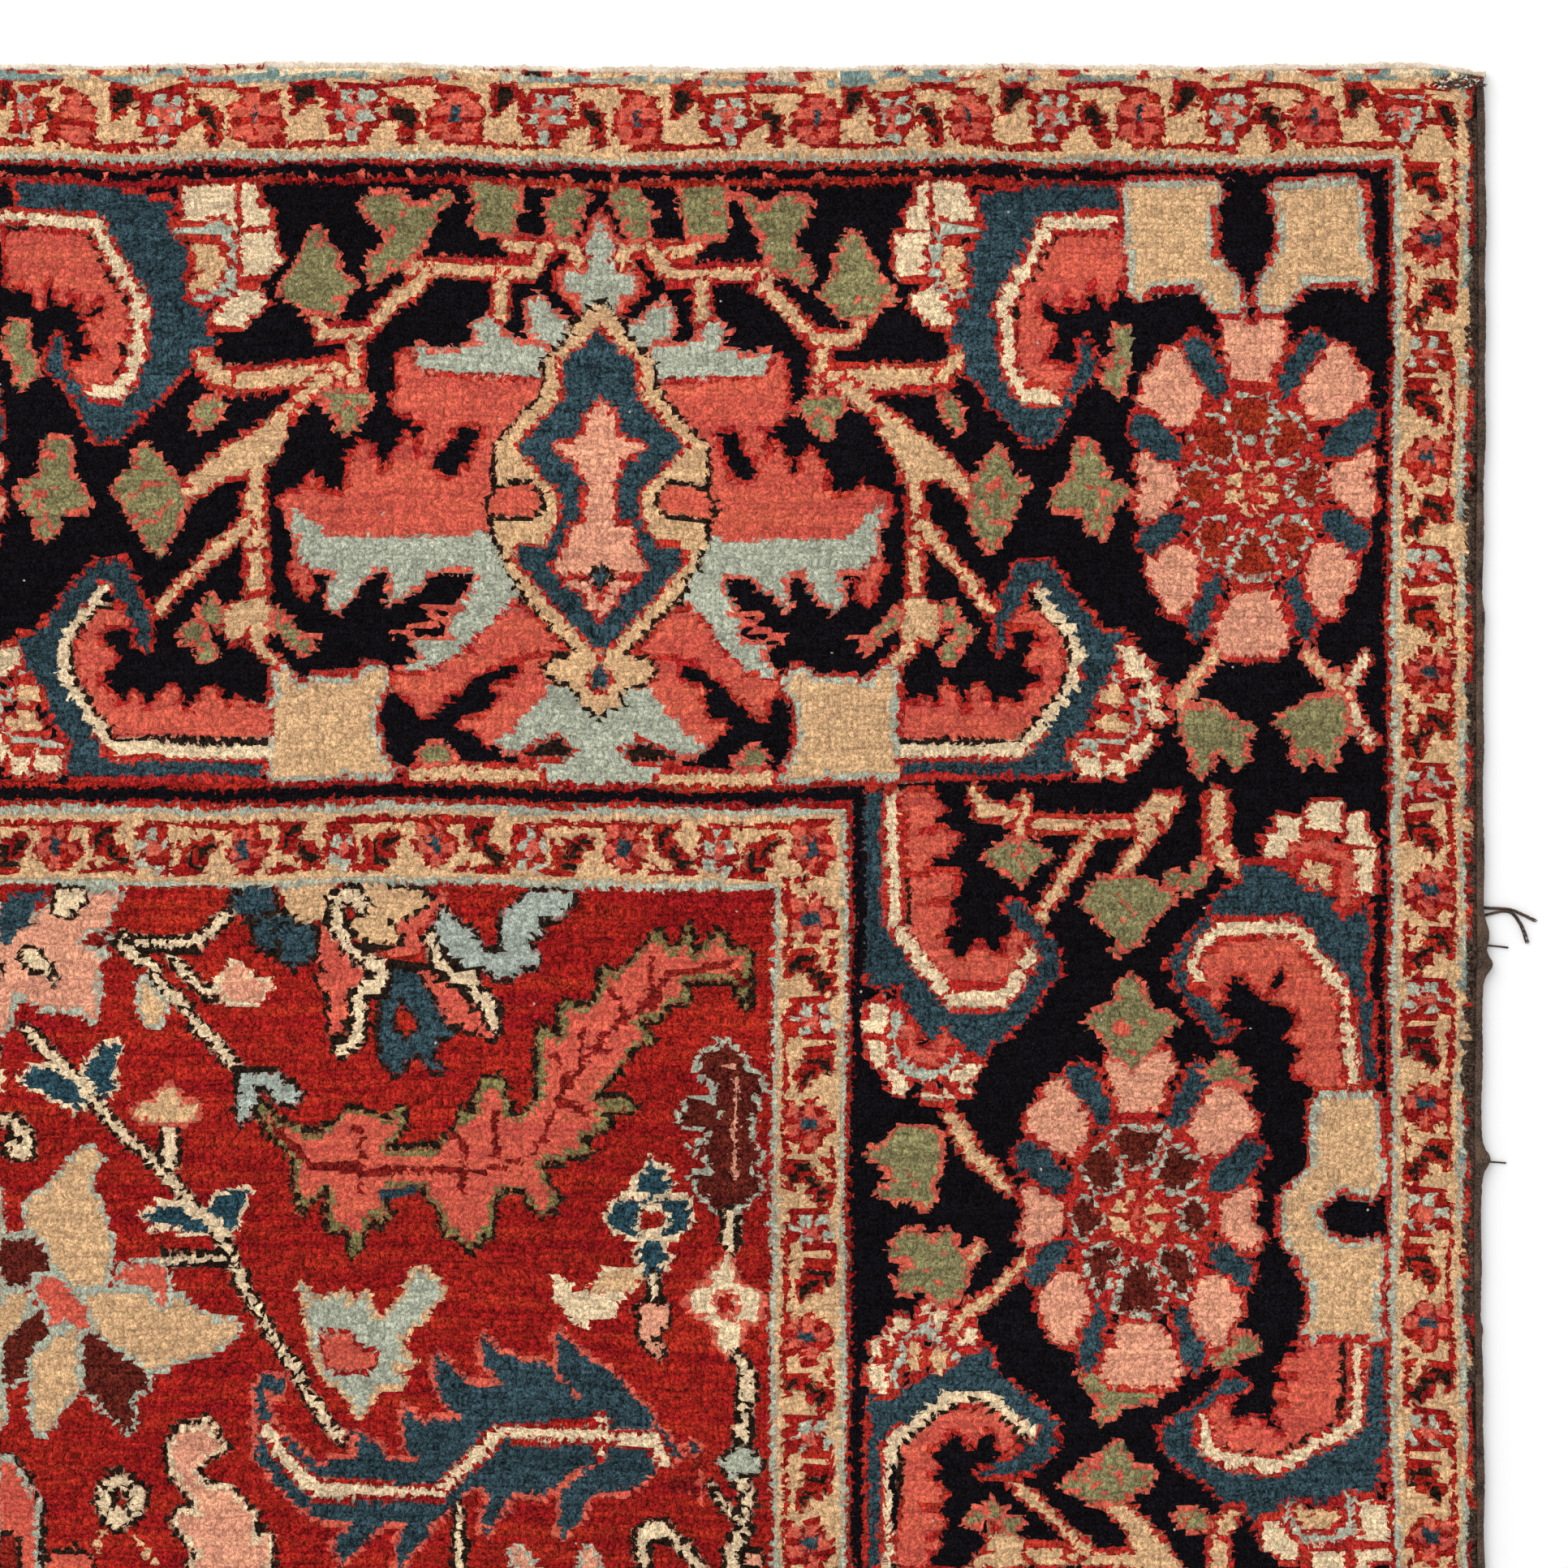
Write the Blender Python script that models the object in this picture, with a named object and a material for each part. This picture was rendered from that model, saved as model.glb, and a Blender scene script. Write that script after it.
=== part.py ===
"""A hand-knotted wool carpet of the Heriz kind, lying flat.

The carpet's length runs along Y and its width along X. The origin is under the
middle of the carpet, on the floor. Sizes are in metres.
"""

import math

import bmesh
import bpy

# The cloth is counted in knots, as its weaver counts it.
KNOT_WIDTH = 0.0035
KNOT_LENGTH = 0.00375
COLUMNS = 777
ROWS = 1025
HALF_WIDTH = COLUMNS * KNOT_WIDTH / 2
HALF_LENGTH = ROWS * KNOT_LENGTH / 2

CARPET_HEIGHT = 0.0090  # foundation and pile together
PILE_ROUNDING = 0.0022  # the pile leans out at the rim
GAP = 0.0003

SELVEDGE_WIDTH = 0.0050
SELVEDGE_HEIGHT = 0.0072
SELVEDGE_ROUNDING = 0.0015
WEB_WIDTH = 0.0050
WEB_HEIGHT = 0.0026

SIDE_STATIONS = 61
END_STATIONS = 43
WORN_STATIONS = (0.95, 0.7, 0.45, 0.2)  # in worn stretches back from the corner
ROUNDING_STEPS = 2

# Slow waves of the edges: how long each is, how far it swings, where it starts.
SIDE_WAVES = (
    # length, swing, start
    (0.92, 0.0008, 0.9),
    (0.41, 0.0007, 2.1),
)
END_WAVES = (
    # length, swing, start
    (0.79, 0.0010, 2.6),
    (0.37, 0.0009, 0.5),
)

# The corner at +X +Y is worn, so its end slopes away over this stretch.
WORN_STRETCH = 0.032
WORN_DROP = 0.0050
WORN_CURVE = 1.5  # 1 is a straight slope, more falls away later

# Swellings of the right selvedge, where its overcasting has come loose.
SWELLINGS = (
    # down from the +Y end, half length, how far it stands out
    (0.3370, 0.0065, 0.0011),
    (0.5330, 0.0085, 0.0030),
    (0.5515, 0.0062, 0.0052),
    (0.6715, 0.0066, 0.0050),
    (0.7770, 0.0055, 0.0013),
)
SWELLING_STATIONS = (-1.6, -1.0, -0.5, 0.0, 0.5, 1.0, 1.6)  # in half lengths
LEAST_STEP = 0.0024  # between two stations of an outline

# Loose ends of the goat-hair overcasting. Each route is (out, down): metres out
# from the selvedge's outer edge, and down from the +Y end.
LOOSE_ENDS = (
    {
        "name": "long_end",
        "root": 0.0015,
        "tip": 0.0006,
        "route": (
            (-0.0022, 0.5165), (0.0100, 0.5170), (0.0160, 0.5180), (0.0225, 0.5210), (0.0290, 0.5245),
        ),
    },
    {
        "name": "hooked_end",
        "root": 0.0014,
        "tip": 0.0006,
        "route": (
            (-0.0022, 0.5212), (0.0080, 0.5188), (0.0135, 0.5190),
            (0.0172, 0.5218), (0.0197, 0.5290), (0.0230, 0.5380),
        ),
    },
    {
        "name": "short_end",
        "root": 0.0010,
        "tip": 0.0005,
        "route": ((-0.0022, 0.5396), (0.0045, 0.5402), (0.0115, 0.5410)),
    },
    {
        "name": "small_end",
        "root": 0.0009,
        "tip": 0.0005,
        "route": ((-0.0022, 0.6733), (0.0045, 0.6737), (0.0087, 0.6740)),
    },
)
THREAD_LIFT = 0.0002  # a loose end lies this far above the floor's plane

# Warp ends that stand out of the +Y web.
WARP_TIPS = (
    # place along X, half width, how far it stands out
    (0.5178, 0.0015, 0.0048),
    (1.0398, 0.0011, 0.0024),
)


def wave(waves, along):
    """How far an edge swings out at this place along it."""
    return sum(swing * math.sin(math.tau * along / length + start) for length, swing, start in waves)


def side_x(side, y):
    """X of the pile's edge on the right side (1) or the left side (-1)."""
    return side * (HALF_WIDTH + wave(SIDE_WAVES, y + side * 0.21))


def end_y(end, x):
    """Y of the pile's edge at the +Y end (1) or the -Y end (-1)."""
    y = end * (HALF_LENGTH + wave(END_WAVES, x + end * 0.13))
    if end > 0:
        share = max((x - HALF_WIDTH + WORN_STRETCH) / WORN_STRETCH, 0.0)
        y -= WORN_DROP * share**WORN_CURVE
    return y


def stations(half, count):
    """Places from -half to half, without the two corners."""
    step = 2 * half / (count - 1)
    return [-half + step * i for i in range(1, count - 1)]


def spaced(places):
    """The places in order, without those that crowd the one before."""
    kept = places[:1]
    for place in places[1:]:
        if place - kept[-1] >= LEAST_STEP:
            kept.append(place)
    return kept


def material(name, colour, roughness):
    """A Principled material in one colour."""
    made = bpy.data.materials.new(name)
    made.use_nodes = True
    shader = made.node_tree.nodes["Principled BSDF"]
    shader.inputs["Base Color"].default_value = (*colour, 1.0)
    shader.inputs["Roughness"].default_value = roughness
    shader.inputs["Metallic"].default_value = 0.0
    return made


def slab(name, outline, height, rounding):
    """A flat piece from z = 0 to its height, its top rim rounded."""
    mesh = bpy.data.meshes.new(name)
    bm = bmesh.new()
    base = bm.faces.new([bm.verts.new((x, y, 0.0)) for x, y in outline])
    grown = bmesh.ops.extrude_face_region(bm, geom=[base])["geom"]
    raised = [item for item in grown if isinstance(item, bmesh.types.BMVert)]
    bmesh.ops.translate(bm, verts=raised, vec=(0.0, 0.0, height))
    if rounding > 0:
        rim = [edge for edge in bm.edges if all(vert.co.z > height / 2 for vert in edge.verts)]
        bmesh.ops.bevel(
            bm, geom=rim, offset=rounding, segments=ROUNDING_STEPS, profile=0.5, affect="EDGES"
        )
    bmesh.ops.recalc_face_normals(bm, faces=bm.faces)
    bm.to_mesh(mesh)
    bm.free()
    return bpy.data.objects.new(name, mesh)


def add_piece(piece, finish, collection):
    """Puts a piece in the carpet's collection, in its own material."""
    piece.data.materials.clear()
    piece.data.materials.append(finish)
    collection.objects.link(piece)
    return piece


def corner(side, end):
    """A corner of the pile, where its side and its end meet."""
    x = side_x(side, end * HALF_LENGTH)
    return x, end_y(end, x)


def side_line(side):
    """The pile's side from its -Y corner to its +Y corner."""
    between = [(side_x(side, y), y) for y in stations(HALF_LENGTH, SIDE_STATIONS)]
    return [corner(side, -1), *between, corner(side, 1)]


def end_line(end):
    """The pile's end from its left corner to its right corner."""
    xs = [x for x in stations(HALF_WIDTH, END_STATIONS) if x < HALF_WIDTH - WORN_STRETCH or end < 0]
    if end > 0:
        xs += [HALF_WIDTH - WORN_STRETCH * share for share in WORN_STATIONS]
    return [corner(-1, end), *[(x, end_y(end, x)) for x in xs], corner(1, end)]


def carpet_outline():
    """The pile's outline, counter-clockwise from the -Y right corner."""
    right, left = side_line(1), side_line(-1)
    top, bottom = end_line(1), end_line(-1)
    return [*right[:-1], *top[:0:-1], *left[:0:-1], *bottom[:-1]]


def swelling(down):
    """How far the right selvedge stands out, this far down from the +Y end."""
    return sum(out * math.exp(-((down - place) ** 2) / half**2) for place, half, out in SWELLINGS)


def selvedge_corner(side, end):
    """A selvedge's outer corner, level with the pile's end beside it."""
    x = corner(side, end)[0] + side * (GAP + SELVEDGE_WIDTH)
    return x, end_y(end, x)


def selvedge_outer(side, y):
    """X of a selvedge's outer edge."""
    out = swelling(HALF_LENGTH - y) if side > 0 else 0.0
    return side_x(side, y) + side * (GAP + SELVEDGE_WIDTH + out)


def selvedge_outline(side):
    """The overcast strip along one side, parted from the pile by the gap."""
    inner = [(x + side * GAP, y) for x, y in side_line(side)]
    inner[0] = (inner[0][0], end_y(-1, inner[0][0]))
    inner[-1] = (inner[-1][0], end_y(1, inner[-1][0]))
    ys = stations(HALF_LENGTH, SIDE_STATIONS)
    if side > 0:
        swollen = [(HALF_LENGTH - down, half) for down, half, _ in SWELLINGS]
        spread = max(half for _, half in swollen) * max(SWELLING_STATIONS)
        ys = [y for y in ys if all(abs(y - place) > spread for place, _ in swollen)]
        ys += [place + half * share for place, half in swollen for share in SWELLING_STATIONS]
        ys = spaced(sorted(ys))
    outer = [(selvedge_outer(side, y), y) for y in ys]
    outer = [selvedge_corner(side, -1), *outer, selvedge_corner(side, 1)]
    return [*inner, *reversed(outer)]


def thread(end):
    """One loose end as a closed mesh: a tapering thread lying on the floor."""
    curve = bpy.data.curves.new(end["name"], "CURVE")
    curve.dimensions = "3D"
    curve.bevel_depth = 1.0
    curve.bevel_resolution = 0
    curve.use_fill_caps = True
    spline = curve.splines.new("POLY")
    spline.points.add(len(end["route"]) - 1)
    last = len(end["route"]) - 1
    for index, (point, (out, down)) in enumerate(zip(spline.points, end["route"])):
        radius = end["root"] + (end["tip"] - end["root"]) * index / last
        y = HALF_LENGTH - down
        x = side_x(1, y) + GAP + SELVEDGE_WIDTH + out
        point.co = (x, y, radius * math.cos(math.pi / 4) + THREAD_LIFT, 1.0)
        point.radius = radius
        point.tilt = math.pi / 4
    holder = bpy.data.objects.new(end["name"], curve)
    bpy.context.scene.collection.objects.link(holder)
    seen = holder.evaluated_get(bpy.context.evaluated_depsgraph_get())
    mesh = bpy.data.meshes.new_from_object(seen)
    bm = bmesh.new()
    bm.from_mesh(mesh)
    bmesh.ops.remove_doubles(bm, verts=bm.verts, dist=0.00001)
    bmesh.ops.recalc_face_normals(bm, faces=bm.faces)
    bm.to_mesh(mesh)
    bm.free()
    place = holder.matrix_world.copy()
    bpy.data.objects.remove(holder)
    made = bpy.data.objects.new(end["name"], mesh)
    made.matrix_world = place
    return made


def join_threads(selvedge, collection):
    """Fuses the loose ends' roots into the selvedge."""
    for end in LOOSE_ENDS:
        made = thread(end)
        made.hide_render = True
        made.display_type = "WIRE"
        collection.objects.link(made)
        union = selvedge.modifiers.new(end["name"], "BOOLEAN")
        union.operation = "UNION"
        union.object = made


def web_outline(end):
    """The cotton web beyond the pile and both selvedges, at one end."""
    outer_left, outer_right = selvedge_corner(-1, end), selvedge_corner(1, end)
    inner_left = (corner(-1, end)[0] - GAP, end_y(end, corner(-1, end)[0] - GAP))
    inner_right = (corner(1, end)[0] + GAP, end_y(end, corner(1, end)[0] + GAP))
    line = [outer_left, inner_left, *end_line(end), inner_right, outer_right]
    inner = [(x, y + end * GAP) for x, y in line]
    outer = [(x, y + end * WEB_WIDTH) for x, y in inner]
    if end > 0:
        for place, half, out in WARP_TIPS:
            base = end_y(1, place) + GAP + WEB_WIDTH
            outer = [(x, y) for x, y in outer if abs(x - place) > 2 * half]
            outer += [(place - half, base), (place, base + out), (place + half, base)]
        outer.sort()
    return [*inner, *reversed(outer)]


def build():
    """Models the carpet."""
    for old in list(bpy.data.objects):
        bpy.data.objects.remove(old)
    carpet = bpy.data.collections.new("heriz_carpet")
    cutters = bpy.data.collections.new("heriz_carpet_cutters")
    bpy.context.scene.collection.children.link(carpet)
    bpy.context.scene.collection.children.link(cutters)

    pile = material("madder_wool_pile", (0.36, 0.05, 0.05), 0.95)
    add_piece(slab("knotted_carpet", carpet_outline(), CARPET_HEIGHT, PILE_ROUNDING), pile, carpet)

    hair = material("goat_hair_overcasting", (0.045, 0.03, 0.022), 0.9)
    for name, side in (("selvedge_right", 1), ("selvedge_left", -1)):
        strip = slab(name, selvedge_outline(side), SELVEDGE_HEIGHT, SELVEDGE_ROUNDING)
        add_piece(strip, hair, carpet)
        if side > 0:
            join_threads(strip, cutters)

    cotton = material("cotton_web", (0.72, 0.62, 0.47), 0.95)
    for name, end in (("end_web_top", 1), ("end_web_bottom", -1)):
        add_piece(slab(name, web_outline(end), WEB_HEIGHT, 0.0), cotton, carpet)


build()
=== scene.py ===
import math
import bpy
import numpy as np
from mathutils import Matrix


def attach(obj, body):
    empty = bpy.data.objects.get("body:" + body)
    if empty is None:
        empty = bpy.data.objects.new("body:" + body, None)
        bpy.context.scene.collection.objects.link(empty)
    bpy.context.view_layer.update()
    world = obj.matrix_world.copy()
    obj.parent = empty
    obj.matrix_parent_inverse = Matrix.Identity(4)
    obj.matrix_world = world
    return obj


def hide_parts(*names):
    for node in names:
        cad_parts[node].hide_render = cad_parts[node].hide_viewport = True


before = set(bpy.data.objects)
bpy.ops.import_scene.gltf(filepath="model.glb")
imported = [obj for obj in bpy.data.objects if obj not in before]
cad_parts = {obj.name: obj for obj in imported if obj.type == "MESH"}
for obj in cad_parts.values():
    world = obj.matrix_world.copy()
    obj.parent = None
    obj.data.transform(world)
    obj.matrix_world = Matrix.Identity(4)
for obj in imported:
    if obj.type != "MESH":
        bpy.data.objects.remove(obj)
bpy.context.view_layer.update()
print("frame loaded:", ", ".join(sorted(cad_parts)))

rng = np.random.default_rng(27)  # one seed for every uneven thing below


def linear(hexText, alpha=1.0):  # sRGB hex to linear
    values = [int(hexText[at:at + 2], 16) / 255.0 for at in (0, 2, 4)]
    bright = [value / 12.92 if value <= 0.04045 else ((value + 0.055) / 1.055) ** 2.4 for value in values]
    return (*bright, alpha)


dyes = {  # sRGB, one yarn each, corrected by comparing patches of the render with the photograph
    "madder": "9A1D18",
    "poppy": "AE2A23",
    "wine": "7E1C17",
    "coral": "CE5948",
    "salmon": "DF997C",
    "camel": "D6AB7F",
    "cream": "E4C8A2",
    "navy": "0B090E",
    "slate": "2F434A",
    "celadon": "ABAE9A",
    "teal": "7C9089",
    "sage": "877F57",
    "ink": "241912",
    "olive": "7C7247",
    "maroon": "5E2018",
    "rust": "932A1A",
    "hair": "4A3A31",
    "mist": "A3AB9F",
    "petrol": "2C4953",
}
yarnLots = {  # how much a dye changes from one dye lot to another
    "madder": 0.75, "navy": 0.9, "slate": 1.0, "petrol": 0.8, "wine": 0.6, "coral": 0.4, "celadon": 0.5,
    "camel": 0.35, "sage": 0.7,
}
otherLots = 0.45
fleckShare = 0.035  # coral knots that have strayed into sage
dyeNames = list(dyes)
dyeNumber = {name: number for number, name in enumerate(dyeNames)}

carpet = {
    "columns": 777,  # knots across, odd, so the middle column is shared
    "rows": 1025,
    "knotWidth": 0.0035,
    "knotLength": 0.00375,
}
sheetRule = 0.0005  # the design sheet is the photograph's own frame, each of its 1932 pixels half a millimetre
sheetRight = 1820.0  # the pile's right edge on the design sheet
sheetTop = 86.0  # its first row of knots
knotAcross = carpet["knotWidth"] / sheetRule
knotDown = carpet["knotLength"] / sheetRule
halfColumns = carpet["columns"] // 2 + 1  # a quarter of the carpet, to both middle lines
halfRows = carpet["rows"] // 2 + 1
columnAcross = sheetRight - knotAcross * (np.arange(halfColumns) + 0.5)
rowDown = sheetTop + knotDown * (np.arange(halfRows) + 0.5)


def grown(mask, steps):  # so many knots wider on every side
    for step in range(steps):
        wide = np.pad(mask, 1)
        mask = wide[1:-1, 1:-1] | wide[:-2, 1:-1] | wide[2:, 1:-1] | wide[1:-1, :-2] | wide[1:-1, 2:]
    return mask


def corners(text):  # "across,down across,down"
    return [tuple(float(value) for value in pair.split(",")) for pair in text.split()]


class Chart:  # knots that know where they lie on the design sheet
    def __init__(self, across, down, ground):
        self.across, self.down = across, down
        self.dye = np.full(across.shape, dyeNumber[ground], dtype=np.int8)
        rows, columns = np.indices(across.shape)
        self.dotted = (3 * columns + 2 * rows + rows // 3) % 5 < 4
        self.flecks = rng.random(across.shape) < fleckShare

    def near(self, points, spare, inside):  # only the knots near an outline are tried
        across, down = np.array(points).T
        where = np.nonzero((self.across > across.min() - spare) & (self.across < across.max() + spare)
                           & (self.down > down.min() - spare) & (self.down < down.max() + spare))
        mask = np.zeros(self.across.shape, dtype=bool)
        mask[where] = inside(self.across[where], self.down[where])
        return mask

    def area(self, points):
        def inside(x, y):
            found = np.zeros(x.shape, dtype=bool)
            for (x0, y0), (x1, y1) in zip(points, points[1:] + points[:1]):
                if y0 != y1:
                    crossing = (y0 > y) != (y1 > y)
                    found ^= crossing & (x < (x1 - x0) * (y - y0) / (y1 - y0) + x0)
            return found
        return self.near(points, 1.0, inside)

    def line(self, points, width):
        def inside(x, y):
            found = np.zeros(x.shape, dtype=bool)
            for (x0, y0), (x1, y1) in zip(points, points[1:]):
                along = ((x - x0) * (x1 - x0) + (y - y0) * (y1 - y0)) / ((x1 - x0) ** 2 + (y1 - y0) ** 2)
                along = np.clip(along, 0.0, 1.0)
                found |= np.hypot(x - x0 - along * (x1 - x0), y - y0 - along * (y1 - y0)) < width / 2
            return found
        return self.near(points, width, inside)

    def inset(self, points):  # an area without its outermost knots
        return ~grown(~self.area(points), 1)

    def spot(self, points, width, height):
        mask = np.zeros(self.across.shape, dtype=bool)
        for x, y in points:
            mask |= ((self.across - x) / width) ** 2 + ((self.down - y) / height) ** 2 < 1.0
        return mask

    def paint(self, mask, dye, outlines=""):
        rings = outlines.split()
        for step in range(len(rings), 0, -1):
            ring = grown(mask, step)
            if rings[step - 1].endswith("?"):  # a dotted outline
                ring = ring & self.dotted
            self.dye[ring] = dyeNumber[rings[step - 1].strip("?")]
        self.dye[mask] = dyeNumber[dye]
        if dye == "sage":
            self.dye[mask & self.flecks] = dyeNumber["coral"]

    def draw(self, table):  # rows of kind with its sizes, dye, outlines from inside out, corners of each shape
        for kind, dye, outlines, *shapes in table:
            word, *sizes = kind.split()
            for text in shapes:
                self.paint(getattr(self, word)(corners(text), *map(float, sizes)), dye, outlines)


# the corners of these outlines were read off the photograph, in its own pixels, and typed in
hookFan = (  # the small fan behind the lower hook, which also reaches into the corner
    ("area", "cream", "poppy", "1382,802 1398,802 1423,830 1418,842 1396,838 1384,822", "1404,852 1416,846 1437,846"
     " 1430,866 1437,886 1418,886 1412,866", "1412,900 1421,902 1418,920 1396,938 1366,942 1366,932 1390,926",
     "1323,928 1358,928 1358,956 1332,956", "1364,936 1386,936 1389,956 1368,958"),
    ("line 10", "celadon", "poppy", "1374,836 1389,856 1406,868 1403,892 1386,911 1334,921"),
    ("spot 14 13", "camel", "poppy", "1370,858"),
    ("spot 20 10", "camel", "poppy", "1371,893"),
)

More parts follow.
